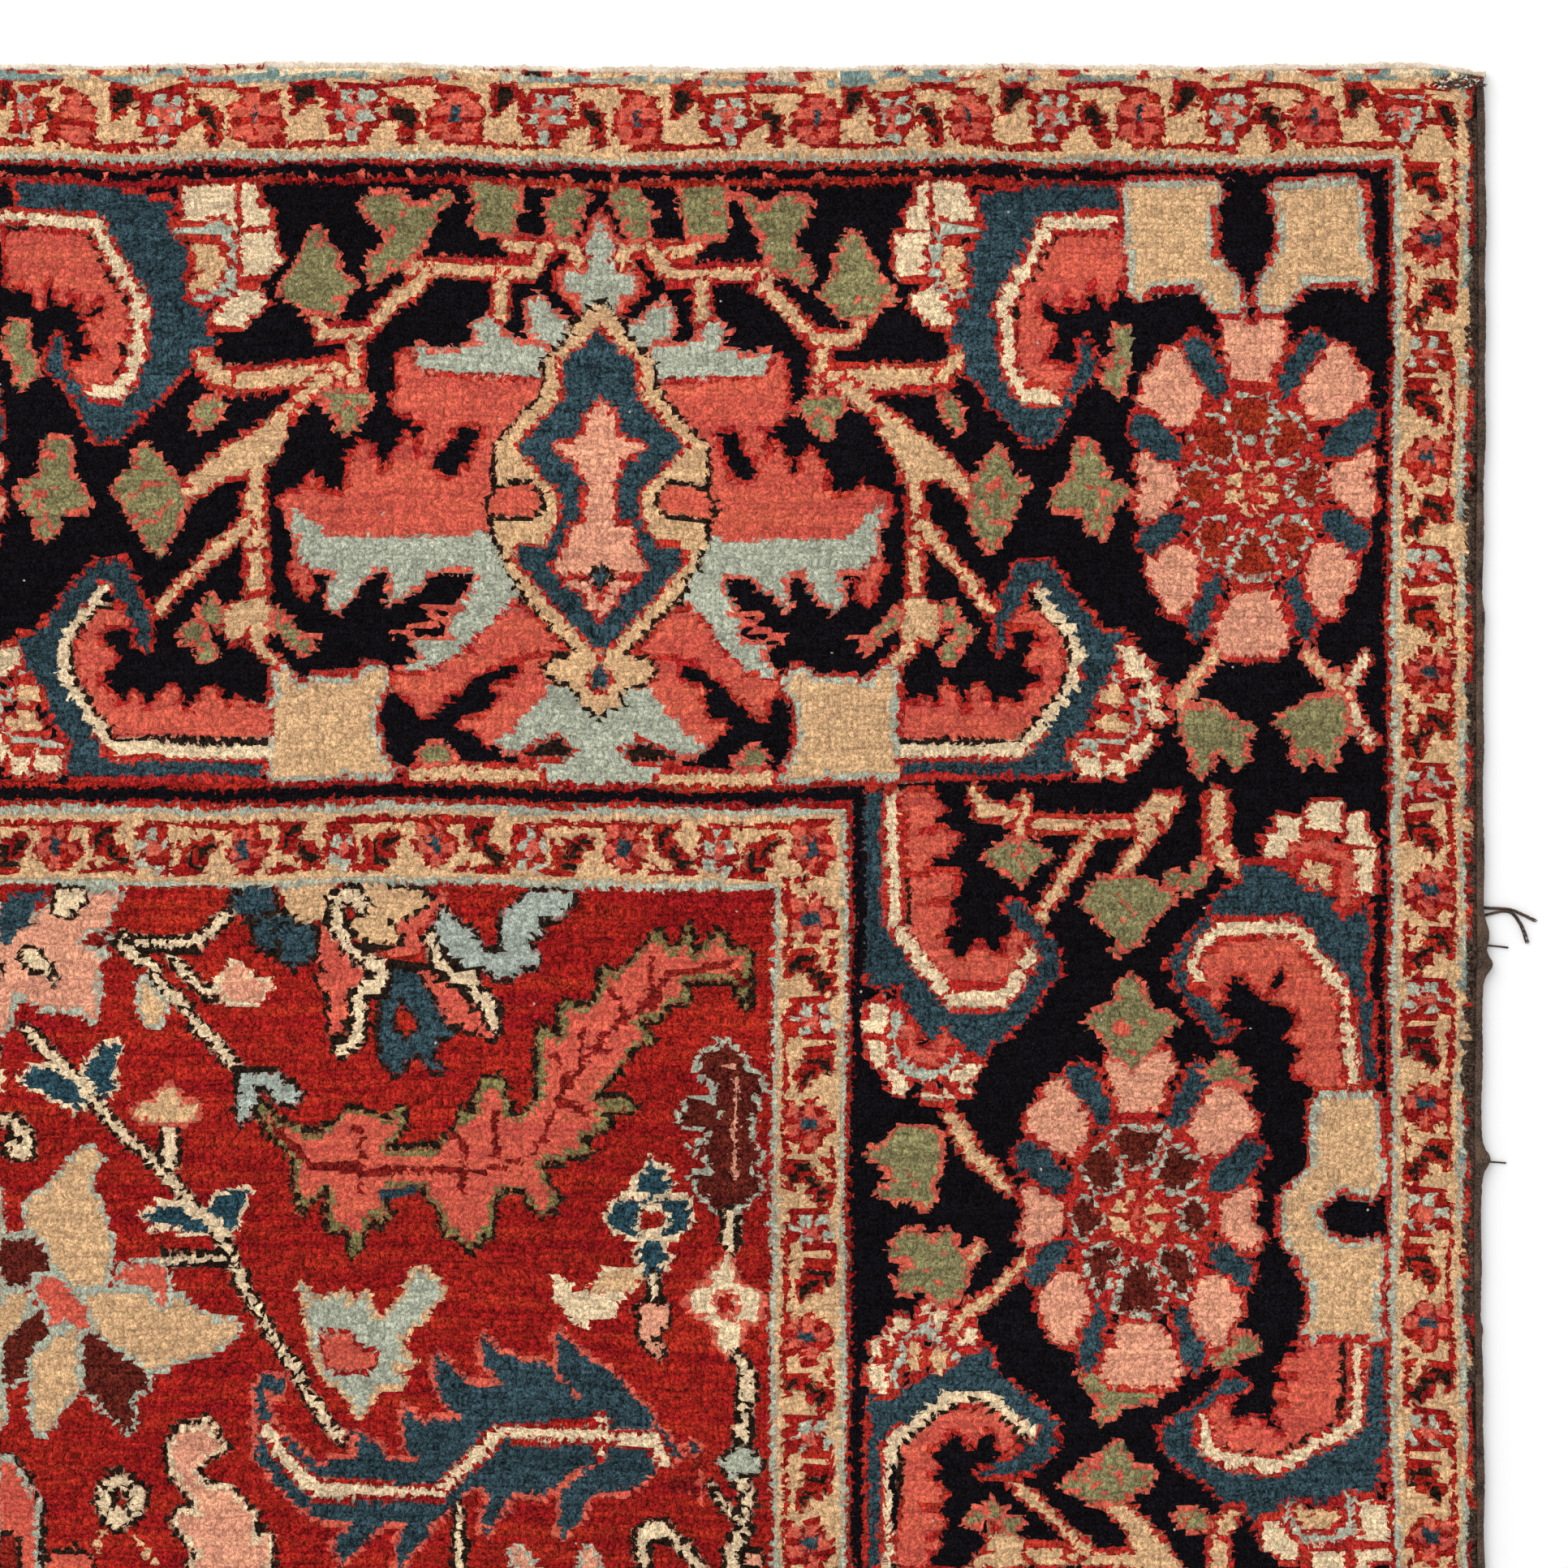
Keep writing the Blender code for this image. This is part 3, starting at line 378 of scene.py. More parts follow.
field = (
    ("area", "salmon", "celadon", "-20,1170 30,1150 52,1132 60,1120 85,1130 105,1105 113,1096 146,1096 145,1112"
     " 133,1122 131,1142 120,1160 123,1178 118,1259 102,1242 52,1239 35,1232 18,1218 16,1260 -20,1285"),
    ("area", "cream", "ink", "74,1098 106,1097 102,1112 88,1128 68,1124", "24,1172 44,1170 62,1188 70,1214 52,1198"
     " 34,1196"),
    ("area", "slate", "", "0,1114 28,1097 58,1097 58,1110 40,1116 40,1144 24,1150 14,1166 0,1168"),
    ("area", "wine", "celadon", "104,1160 116,1149 132,1150 134,1168 120,1172"),
    ("line 13", "cream", "ink", "148,1160 176,1163 242,1162 262,1146 284,1120"),
    ("line 9", "cream", "ink", "152,1166 186,1190 204,1216 244,1264 290,1313"),
    ("line 8", "cream", "ink", "212,1176 244,1218 262,1222"),
    ("area", "salmon", "cream", "266,1206 285,1190 300,1196 309,1210 328,1213 321,1227 300,1236 280,1236 269,1222"),
    ("area", "camel", "celadon", "174,1213 188,1216 201,1240 199,1254 188,1266 181,1260 177,1240"),
    ("line 9", "cream", "ink", "34,1264 70,1305 105,1345 150,1400 190,1432 210,1455 250,1495 275,1527 300,1580"
     " 320,1620 345,1665 365,1690 385,1725 400,1745 426,1776"),
    ("area", "petrol", "cream", "30,1324 40,1317 70,1317 92,1335 109,1362 92,1366 67,1351 49,1337 35,1338",
     "124,1288 149,1289 140,1313 141,1337 132,1353 102,1325 113,1303", "184,1500 196,1491 227,1491 254,1509 262,1522"
     " 233,1519 214,1509 190,1513", "263,1479 285,1465 307,1467 304,1478 293,1490 292,1509 282,1519 262,1493"),
    ("line 13", "cream", "ink", "207,1388 212,1438"),
    ("area", "camel", "coral", "204,1335 218,1335 220,1357 235,1361 246,1362 240,1377 225,1384 205,1386 185,1384"
     " 169,1375 176,1359 196,1361"),
    ("line 12", "cream", "ink", "211,1553 275,1553"),
    ("area", "camel", "celadon", "98,1424 120,1423 126,1434 111,1443 108,1458 122,1482 136,1512 140,1539 137,1563"
     " 130,1586 101,1586 70,1552 50,1532 38,1511 36,1482 48,1473 68,1460 84,1440"),
    ("area", "maroon", "celadon", "-10,1524 45,1526 60,1545 68,1558 45,1566 38,1583 -10,1583",
     "60,1614 64,1640 45,1665 37,1690 20,1706 -10,1706 -10,1662 20,1640 44,1617", "106,1646 118,1640 147,1667"
     " 181,1689 181,1713 170,1716 168,1770 150,1757 125,1733 106,1713"),
    ("area", "camel", "celadon", "108,1594 181,1595 199,1612 212,1598 226,1598 244,1621 268,1632 292,1630 292,1645"
     " 268,1662 245,1671 211,1674 208,1683 184,1683 147,1662 120,1635 117,1612", "75,1643 95,1641 100,1651 100,1708"
     " 73,1738 48,1770 42,1755 45,1676", "-10,1592 38,1592 38,1608 18,1637 -10,1662"),
    ("area", "coral", "celadon", "46,1584 60,1572 80,1574 92,1592 105,1602 114,1620 110,1636 96,1634 88,1624 80,1632"
     " 66,1629 63,1612 46,1600", "143,1570 160,1564 172,1555 195,1556 209,1562 208,1606 201,1609 190,1592 184,1580"
     " 170,1588"),
    ("spot 30 32", "cream", "ink", "145,1852"),
    ("line 6", "ink", "", "124,1830 166,1874", "166,1830 124,1874"),
    ("spot 14 15", "ink", "", "145,1852"),
    ("spot 7 9", "wine", "", "145,1852"),
    ("line 6", "camel", "", "124,1892 108,1920", "162,1892 186,1926"),
    ("spot 28 22", "coral", "ink", "85,1934"),
    ("area", "coral", "celadon ink", "-10,1804 12,1804 34,1836 42,1852 42,1945 -10,1945"),
    ("area", "wine", "ink", "-10,1892 20,1892 20,1945 -10,1945"),
    ("area", "salmon", "cream ink", "220,1778 232,1764 256,1762 268,1778 280,1792 262,1792 244,1806 240,1820"
     " 254,1838 280,1838 302,1856 307,1872 310,1908 326,1895 328,1945 212,1945 250,1922 238,1900 216,1880 220,1874"
     " 252,1872 244,1848 226,1832 216,1808"),
    ("area", "camel", "", "341,1094 412,1094 402,1111 396,1135 381,1141 363,1138 353,1120"),
    ("area", "camel", "ink", "446,1094 523,1096 532,1108 512,1127 478,1138 489,1157 486,1164 452,1164 434,1147"
     " 446,1122"),
    ("spot 27 20", "slate", "ink", "312,1112"),
    ("spot 25 25", "slate", "ink", "338,1150"),
    ("spot 22 27", "slate", "ink", "362,1166"),
    ("area", "coral", "ink", "391,1141 403,1151 416,1176 454,1200 450,1214 430,1221 427,1251 415,1277 406,1274"
     " 403,1224 394,1220 396,1196"),
    ("area", "coral", "", "491,1141 540,1111 557,1095 555,1110 522,1142 516,1154 522,1181 479,1181 478,1172"
     " 500,1168"),
    ("area", "mist", "ink", "549,1122 560,1131 585,1146 605,1176 620,1172 620,1135 642,1109 650,1102 710,1102"
     " 709,1112 690,1126 662,1132 671,1149 648,1158 669,1184 645,1188 638,1201 610,1200 590,1186 565,1184 550,1170"
     " 535,1150"),
    ("area", "slate", "ink", "483,1195 513,1193 533,1218 545,1251 563,1276 560,1282 537,1281 533,1306 547,1325"
     " 525,1315 514,1304 500,1309 491,1328 471,1303 466,1264 466,1238 479,1235"),
    ("area", "madder", "ink", "486,1241 498,1240 509,1262 504,1281 492,1270"),
    ("area", "coral", "ink", "516,1195 531,1198 549,1213 577,1228 573,1240 600,1252 615,1276 610,1280 586,1269"
     " 556,1263 543,1239"),
    ("line 13", "cream", "ink", "446,1119 431,1102 413,1114 410,1141 425,1169 452,1188 470,1196 470,1214 451,1221"
     " 440,1231 441,1254 439,1282 416,1297", "531,1156 541,1182 563,1204 585,1203 589,1224 608,1238 612,1262"),
    ("area", "mist", "ink", "294,1321 337,1321 349,1338 375,1347 360,1363 342,1360 327,1343 313,1332 311,1369"
     " 297,1383"),
    ("area", "olive", "ink", leafEdge),
    ("inset", "coral", "", leafEdge),
    ("line 8", "wine", "", "340,1390 385,1440 410,1443 590,1447 640,1430 672,1400 690,1350 720,1310 750,1270"
     " 800,1230 826,1192 900,1186 918,1208", "434,1390 447,1394 444,1470", "560,1404 570,1412 568,1474",
     "612,1372 612,1428", "686,1296 700,1336", "714,1262 720,1308", "752,1212 770,1250", "800,1174 806,1232 800,1246",
     "690,1358 718,1362 722,1374", "738,1294 750,1300"),
    ("line 11", "slate", "", "472,1472 512,1472"),
    ("area", "maroon", "celadon", "856,1318 866,1301 889,1285 910,1292 918,1318 922,1330 942,1315 934,1347 926,1369"
     " 922,1403 942,1415 927,1439 940,1459 919,1484 903,1476 888,1489 868,1471 854,1446 884,1444 866,1420 848,1406"
     " 878,1402 866,1382 838,1380 852,1353 868,1350 886,1374 882,1338 866,1322"),
    ("line 6", "salmon", "", "889,1307 903,1318 906,1361 903,1473"),
    ("line 13", "cream", "ink", "903,1492 906,1532"),
    ("spot 20 24", "petrol", "cream", "803,1456"),
    ("area", "petrol", "cream", "744,1494 770,1470 790,1472 803,1480 818,1472 838,1470 860,1497 840,1518 818,1522"
     " 790,1522 768,1516"),
    ("spot 15 20", "petrol", "cream", "808,1543"),
    ("spot 14 13", "madder", "cream", "805,1500"),
    ("area", "cream", "", "684,1570 695,1562 704,1582 732,1583 750,1560 781,1553 801,1566 770,1596 761,1615"
     " 744,1627 730,1622 716,1636 706,1630 703,1615 687,1595"),
    ("area", "camel", "", "750,1562 780,1555 798,1568 770,1590 748,1586 736,1582"),
    ("line 8", "cream", "ink", "807,1566 808,1590"),
    ("area", "salmon", "ink", "792,1600 818,1597 826,1610 823,1632 807,1641 820,1664 817,1670 795,1646 790,1624"),
    ("area", "cream", "coral", "898,1548 912,1570 914,1584 926,1583 938,1600 938,1624 920,1622 918,1646 904,1662"
     " 890,1652 884,1622 862,1618 850,1602 866,1583 882,1584 884,1566"),
    ("spot 11 14", "madder", "coral", "900,1604"),
    ("line 10", "cream", "ink", "914,1668 925,1687 925,1702 920,1739 917,1768"),
    ("area", "celadon", "ink", "914,1774 926,1780 932,1792 941,1796 940,1808 924,1816 896,1814 888,1798 902,1786"),
    ("line 12", "cream", "ink", "915,1822 923,1840 920,1869 905,1904 899,1945"),
    ("line 8", "cream", "ink", "879,1829 897,1856 914,1874"),
    ("line 13", "cream", "ink", "794,1921 788,1896 800,1882 822,1886 845,1908 868,1940"),
    ("area", "salmon", "ink", "918,1910 938,1911 938,1923 918,1923"),
    ("area", "slate", "coral", "312,1714 331,1695 346,1695 351,1714 343,1724 332,1713 326,1730 336,1754 357,1775"
     " 393,1808 444,1804 436,1764 466,1784 480,1802 518,1806 494,1778 497,1734 520,1755 568,1753 540,1711 539,1666"
     " 577,1709 620,1707 593,1681 593,1640 624,1670 672,1680 688,1700 687,1638 729,1676 752,1683 787,1717 816,1760"
     " 841,1791 839,1801 822,1787 812,1811 790,1833 750,1844 730,1844 714,1867 690,1898 685,1832 666,1841 637,1841"
     " 620,1859 598,1894 592,1873 604,1841 585,1832 563,1850 533,1884 494,1932 488,1904 504,1884 471,1878 420,1932"
     " 415,1904 436,1878 389,1874 355,1841 314,1798"),
    ("line 6", "coral", "", "688,1696 712,1722"),
    ("line 8", "coral", "", "724,1804 690,1830"),
    ("line 14", "cream", "madder", "327,1764 360,1808 391,1843 539,1845 618,1762 780,1771 804,1770 820,1804"),
    ("line 9", "cream", "madder", "732,1750 746,1750", "741,1784 741,1794"),
    ("area", "wine", "", "848,1788 866,1790 866,1810 852,1806", "824,1822 862,1820 862,1843 826,1842"),
    ("line 6", "coral", "", "830,1810 868,1812 866,1850"),
    ("area", "slate", "coral", "848,1776 860,1776 858,1786 848,1784"),
    ("area", "celadon", "camel", "370,1580 378,1590 404,1609 422,1594 430,1609 457,1594 458,1617 466,1634 498,1604"
     " 514,1569 527,1566 545,1588 542,1602 518,1632 493,1650 496,1672 512,1682 484,1686 498,1708 463,1709 454,1737"
     " 443,1746 438,1726 408,1703 394,1684 385,1664 382,1638 379,1608"),
    ("area", "coral", "madder", "396,1650 412,1644 430,1646 436,1658 450,1668 464,1666 462,1682 446,1692 424,1695"
     " 404,1680"),
    ("line 13", "cream", "ink", "563,1866 563,1945"),
    ("area", "salmon", "celadon", "628,1904 640,1910 660,1934 636,1940", "710,1908 728,1908 738,1934 714,1940"),
    ("line 12", "cream", "ink", "-6,1377 20,1381 37,1400 36,1420 20,1424 14,1409"),
)

# a guard border's repeat as a chart: the flower, a hooked leaf, the rosette, a hooked leaf
guardDyes = {"t": "camel", "r": "madder", "c": "celadon", "o": "coral", "b": "slate", "k": "ink"}
guardRepeat = (
    "trrrrrrrt", "trrccrcct", "rrrccrcct", "rccooorrt", "rrrroorcc", "rrrccrrcr", "rttrrrrrr",
    "rtttttttr", "rttrrrrrr", "rtttrrrrr", "rttrkkkkr", "rttrrrrkr", "rtrrkkrkr", "rtrkkrrtt",
    "rtrkrtttt", "rttrttttt", "rtttttttt", "rrttrrttt", "rooroortt", "rooroorrt", "rrrbbboor",
    "roobbboor", "roororrrr", "rrrroorrt", "rttroortt", "rttrrrttr", "rtttttttr", "rrrrrttrr",
    "rrkkkrttr", "rkkrrrttr", "rkrrkkrtr", "rrttrkkrr", "ttttrrkkr", "tttttrkrr", "ttttttrtr",
)
endGuardRepeat = (  # the same for the end, where it shows best, its rows from the outer edge in
    "rrrttttttttrrrrrttttttttrrrrrrr",
    "ttrrrrrttttrkkkrrtrrrrrrrtttttt",
    "tttrooorrttrkkkrrrrccrccrrttttt",
    "ttrrooorrttrkkrtrrrccrccrtrrrtt",
    "trooobooortrkrttrrroooorrtrkkrt",
    "trooobooortrrttttrccooccrtrkkkr",
    "trrrrbrrrrttttttrrccroccrrrrkkr",
    "trooorooortttttttrrroorrrtttrkr",
    "trooorooortttttttrrrccrrttttrrr",
    "ttrroooorrtttttttttrccrtttttrkr",
    "ttttrrrrrrrrrrrrrrrrrrrttttttrr",
)
guardGrids = {
    "side": [[dyeNumber[guardDyes[letter]] for letter in row] for row in guardRepeat],
    "end": [[dyeNumber[guardDyes[letter]] for letter in line] for line in zip(*endGuardRepeat)],
}
flowerStarts = {"side": 20.5, "end": 5.0}  # where the flower's middle lies in each repeat


def triangle(value, low, high):  # folds a distance back and forth between low and high
    span = high - low
    return low + np.abs((value - low + span) % (2.0 * span) - span)


def guardBand(chart, band, along, across, kind):  # along in repeats from a flower, across from 0 to 1
    grid = np.array(guardGrids[kind])
    row = np.floor(along[band] * len(grid) + flowerStarts[kind] + 0.5).astype(int) % len(grid)
    column = np.clip(np.floor(across[band] * grid.shape[1]), 0, grid.shape[1] - 1).astype(int)
    chart.dye[band] = grid[row, column]


def layLines(chart, lines):  # each from its own column and row inwards, and the next one covers the rest
    for column, row, dye in lines:
        chart.dye[row:, column:] = dyeNumber[dye]


wornDyes = (  # shares of each dye in the two first rows and the three first columns
    {"poppy": 0.22, "camel": 0.16, "cream": 0.54, "teal": 0.06, "ink": 0.02},
    {"teal": 0.44, "celadon": 0.16, "camel": 0.36, "poppy": 0.04},
    {"hair": 0.86, "ink": 0.10, "poppy": 0.04},
    {"hair": 0.34, "madder": 0.30, "poppy": 0.28, "camel": 0.08},
    {"celadon": 0.62, "camel": 0.26, "teal": 0.12},
)


def mottled(count, shares):  # short runs of each dye, in these shares
    run = []
    while len(run) < count:
        run += [str(rng.choice(list(shares), p=list(shares.values())))] * int(rng.integers(1, 6))
    return run[:count]


guardPlan = {  # lines as their first column and row of knots, flowers on the design sheet
    "outerLines": ((13, 13, "camel"), (14, 14, "celadon"), (15, 15, "madder"), (16, 16, "navy")),
    "dottedRow": 17,
    "redRow": 18,
    "cornerAcross": 1690,  # where those two rows start
    "rowBreak": (1500, 1562),
    "innerLines": ((109, 117, "madder"), (108, 118, "navy"), (110, 120, "madder"), (111, 121, "celadon"),
                   (112, 122, "camel")),
    "fieldLines": ((122, 132, "camel"), (123, 133, "celadon"), (124, 134, "madder")),
    "end": {"columns": 4, "rows": (2, 13)},
    "side": {"columns": (4, 13), "rows": 14, "flower": 1097.0, "repeat": 266.0},
    "innerSide": {"columns": (113, 122), "rows": 123, "flower": 1384.0, "repeat": 259.0},
    "innerEnd": {"columns": 113, "rows": (123, 132), "flower": 1000.0, "repeat": 232.0},
    "endFlowers": (-900, -682, -464, -246, -28, 90, 313, 560, 790, 1005, 1195, 1400, 1620, 1838),
}
cornerMarks = (  # where the guards meet
    ("area", "celadon", "madder", "1716,128 1752,128 1752,140 1738,176 1722,178 1730,150 1716,140"),
    ("line 8", "coral", "", "1722,136 1738,140 1732,156"),
    ("spot 5 5", "madder", "", "1787,131"),
    ("spot 4 4", "coral", "", "1692,212"),
)
borderPlan = {  # in columns and rows of knots from the corner, or on the design sheet
    "columns": (16, 108),  # of the main border down the side
    "rows": (19, 118),  # and along the end
    "cornerColumns": 61,  # the corner's own drawing ends here along the end
    "turtleColumn": 154,  # the middle column of the palmette that shows whole
    "nextRosetteColumn": 281,  # beyond it the half repeat is spaced wider, and then narrower to the middle
    "rosetteRow": 188,
    "turtleRows": (296, 512),
    "halfRepeat": 805.0,  # from the palmette's middle to the rosette's
    "cornerRosette": (1543.5, 598.0),
    "sideRosettes": (1406.0, 1386.0),
}
repeatStretch = (  # distance from the palmette's middle on the floor, and on the half repeat's drawing
    (0.0, 127.0, 300.0, 430.0, 570.0, 660.0, 889.0),
    (0.0, 127.0, 264.0, 391.0, 497.0, 587.0, borderPlan["halfRepeat"]),
)
fieldPlan = {
    "firstColumn": 124,
    "firstRow": 134,
    "acrossFold": (28.0, 955.0),  # the field's drawing is mirrored between these
    "downFold": (1092.0, 1932.0),
}


def foldedEnd(columns):  # where each column of the end's border lies on the half repeat's drawing
    turtle, nextRosette, middle = borderPlan["turtleColumn"], borderPlan["nextRosetteColumn"], halfColumns - 1
    straight = (turtle - columns) * knotAcross
    beyond = np.interp(np.abs(columns - turtle) * knotAcross, *repeatStretch)
    last = (middle - columns) * borderPlan["halfRepeat"] / (middle - nextRosette)
    inward = np.where(columns <= nextRosette, beyond, last)
    return columnAcross[turtle] + np.where(columns <= turtle, straight, inward)


def foldedSide(rows):  # the same down the side, from rosette to palmette and back
    rosetteRow, turtle = borderPlan["rosetteRow"], borderPlan["turtleRows"][0]
    away = np.abs((rows - rosetteRow) % (2 * (turtle - rosetteRow)) - (turtle - rosetteRow))
    return columnAcross[borderPlan["turtleColumn"]] + away * borderPlan["halfRepeat"] / (turtle - rosetteRow)


def chartGuards(chart):  # the outer guard along the end and down the side, with its lines
    across, down = chart.across, chart.down
    wornLines = (chart.dye[0], chart.dye[1], chart.dye[:, 0], chart.dye[:, 1], chart.dye[:, 2])
    for line, shares in zip(wornLines, wornDyes):
        line[:] = [dyeNumber[dye] for dye in mottled(len(line), shares)]
    (top, bottom), first = guardPlan["end"]["rows"], guardPlan["end"]["columns"]
    flowers = np.interp(across, guardPlan["endFlowers"], np.arange(len(guardPlan["endFlowers"])))
    guardBand(chart, np.s_[top:bottom, first:], flowers,
              (down - rowDown[top] + 0.5 * knotDown) / ((bottom - top) * knotDown), "end")
    side = guardPlan["side"]
    outer, inner = side["columns"]
    guardBand(chart, np.s_[side["rows"]:, outer:inner], (down - side["flower"]) / side["repeat"],
              (columnAcross[outer] + 0.5 * knotAcross - across) / ((inner - outer) * knotAcross), "side")
    layLines(chart, guardPlan["outerLines"])
    chart.draw(cornerMarks)
    beyondCorner = columnAcross < guardPlan["cornerAcross"]
    dotColumns = np.floor(columnAcross / knotAcross) % 9 < 1
    chart.dye[guardPlan["dottedRow"], beyondCorner & dotColumns] = dyeNumber["coral"]
    chart.dye[guardPlan["redRow"], beyondCorner] = dyeNumber["madder"]
    fromAcross, toAcross = guardPlan["rowBreak"]
    chart.dye[guardPlan["redRow"], (columnAcross > fromAcross) & (columnAcross < toAcross)] = dyeNumber["navy"]


def chartBorder(chart):
    (firstColumn, endColumn), (firstRow, endRow) = borderPlan["columns"], borderPlan["rows"]
    rosetteRow = borderPlan["rosetteRow"]
    # along the end, half a repeat folded out from the palmette
    rows, columns = np.arange(firstRow, endRow), np.arange(firstColumn, halfColumns)
    folded = Chart(*np.meshgrid(foldedEnd(columns), rowDown[rows]), "navy")
    folded.draw(turtleHalf)
    chart.dye[np.ix_(rows, columns)] = folded.dye
    # down the side the same half repeat lies on its side
    rows, columns = np.arange(rosetteRow, halfRows), np.arange(firstColumn, endColumn)
    fromEdge = (columns - firstColumn) / (endColumn - firstColumn) * (rowDown[endRow - 1] - rowDown[firstRow])
    lying = Chart(*np.meshgrid(foldedSide(rows), rowDown[firstRow] + fromEdge, indexing="ij"), "navy")
    lying.draw(turtleHalf)
    chart.dye[np.ix_(rows, columns)] = lying.dye
    # the corner is drawn on its own
    chart.dye[endRow:rosetteRow, firstColumn:endColumn] = dyeNumber["navy"]
    chart.dye[firstRow:endRow, firstColumn:borderPlan["cornerColumns"]] = dyeNumber["navy"]


def drawRosette(chart, middleAcross, middleDown, drops="rust"):
    local = Chart(np.abs(chart.across - middleAcross), chart.down - middleDown, "navy")
    local.dye = chart.dye
    local.draw((kind, drops if dye == "rust" else dye, *rest) for kind, dye, *rest in rosette)


def chartInnerGuard(chart):
    layLines(chart, guardPlan["innerLines"])
    side, end = guardPlan["innerSide"], guardPlan["innerEnd"]
    outer, inner = side["columns"]
    guardBand(chart, np.s_[side["rows"]:, outer:inner], (chart.down - side["flower"]) / side["repeat"],
              (chart.across - columnAcross[inner - 1] + 0.5 * knotAcross) / ((inner - outer) * knotAcross), "side")
    top, bottom = end["rows"]
    guardBand(chart, np.s_[top:bottom, end["columns"]:], (chart.across - end["flower"]) / end["repeat"],
              (chart.down - rowDown[top] + 0.5 * knotDown) / ((bottom - top) * knotDown), "side")
    layLines(chart, guardPlan["fieldLines"])


def chartField(chart):
    inside = np.s_[fieldPlan["firstRow"]:, fieldPlan["firstColumn"]:]
    across = triangle(chart.across[inside], *fieldPlan["acrossFold"])
    across = np.where(chart.across[inside] > 0, chart.across[inside], across)
    local = Chart(across, triangle(chart.down[inside], *fieldPlan["downFold"]), "madder")
    local.draw(field)
    chart.dye[inside] = local.dye


def quarterChart():
    chart = Chart(*np.meshgrid(columnAcross, rowDown), "camel")
    chartGuards(chart)
    chartBorder(chart)
    rosetteRow = borderPlan["rosetteRow"]
    cornerAcross, cornerDown = borderPlan["cornerRosette"]
    firstSide, secondSide = borderPlan["sideRosettes"]
    drawRosette(chart, cornerAcross, cornerDown)
    drawRosette(chart, columnAcross[borderPlan["nextRosetteColumn"]], cornerDown)
    drawRosette(chart, firstSide, rowDown[rosetteRow], "maroon")
    drawRosette(chart, secondSide, rowDown[2 * borderPlan["turtleRows"][0] - rosetteRow])
    chart.draw(corner)
    chartInnerGuard(chart)
    chartField(chart)
    return chart.dye


quarter = quarterChart()
wide = np.hstack([quarter, quarter[:, -2::-1]])
knots = np.vstack([wide, wide[-2::-1]])
print("chart drawn")

edges = {
    "halfWidth": 1.35975,
    "halfLength": 1.921875,
    "pileTop": 0.0090,
    "rounding": 0.0022,
    "gap": 0.0003,
    "sideWaves": ((0.92, 0.0008, 0.9), (0.41, 0.0007, 2.1)),  # length, swing, start
    "endWaves": ((0.79, 0.0010, 2.6), (0.37, 0.0009, 0.5)),
    "sideShift": 0.21,
    "endShift": 0.13,
    "wornStretch": 0.032,  # the corner that has worn down
    "wornDrop": 0.0050,
    "wornCurve": 1.5,
}


def wave(waves, along):
    return sum(swing * np.sin(math.tau * along / length + start) for length, swing, start in waves)


def sideAt(side, y):
    return side * (edges["halfWidth"] + wave(edges["sideWaves"], y + side * edges["sideShift"]))


def endAt(end, x):
    y = end * (edges["halfLength"] + wave(edges["endWaves"], x + end * edges["endShift"]))
    if end > 0:
        worn = np.maximum((x - edges["halfWidth"] + edges["wornStretch"]) / edges["wornStretch"], 0.0)
        y = y - edges["wornDrop"] * worn ** edges["wornCurve"]
    return y


def placeOf(column, row):  # knots counted from the left edge and from the top end
    u, v = column / carpet["columns"], row / carpet["rows"]
    y = edges["halfLength"] * (1.0 - 2.0 * v)
    x = sideAt(-1, y) * (1.0 - u) + sideAt(1, y) * u
    y = endAt(1, x) * (1.0 - v) + endAt(-1, x) * v
    return x, y


def unevenness(step, swing):  # smooth noise over the lattice of knots, with a value of its own each step of knots
    rows, columns = carpet["rows"] + 1, carpet["columns"] + 1
    coarse = rng.normal(0.0, swing, (rows // step + 3, columns // step + 3))
    rowAt, columnAt = np.arange(rows) / step, np.arange(columns) / step
    rowFrom, columnFrom = rowAt.astype(int), columnAt.astype(int)
    rowPart, columnPart = (rowAt - rowFrom)[:, None], (columnAt - columnFrom)[None, :]
    rowPart, columnPart = rowPart * rowPart * (3 - 2 * rowPart), columnPart * columnPart * (3 - 2 * columnPart)

    def along(row):
        return coarse[np.ix_(row, columnFrom)] * (1 - columnPart) + coarse[np.ix_(row, columnFrom + 1)] * columnPart

    return along(rowFrom) * (1 - rowPart) + along(rowFrom + 1) * rowPart


def addNode(tree, kind, settings=None, links=None):  # settings by property name or input, links by input
    node = tree.nodes.new("ShaderNode" + kind)
    for name, value in (settings or {}).items():
        if isinstance(name, str) and hasattr(node, name):
            setattr(node, name, value)
        else:
            node.inputs[name].default_value = value
    for name, (source, output) in (links or {}).items():
        tree.links.new(source.outputs[output], node.inputs[name])
    return node


def newMaterial(name):
    material = bpy.data.materials.new(name)
    material.use_nodes = True
    tree = material.node_tree
    tree.nodes.clear()
    return material, tree


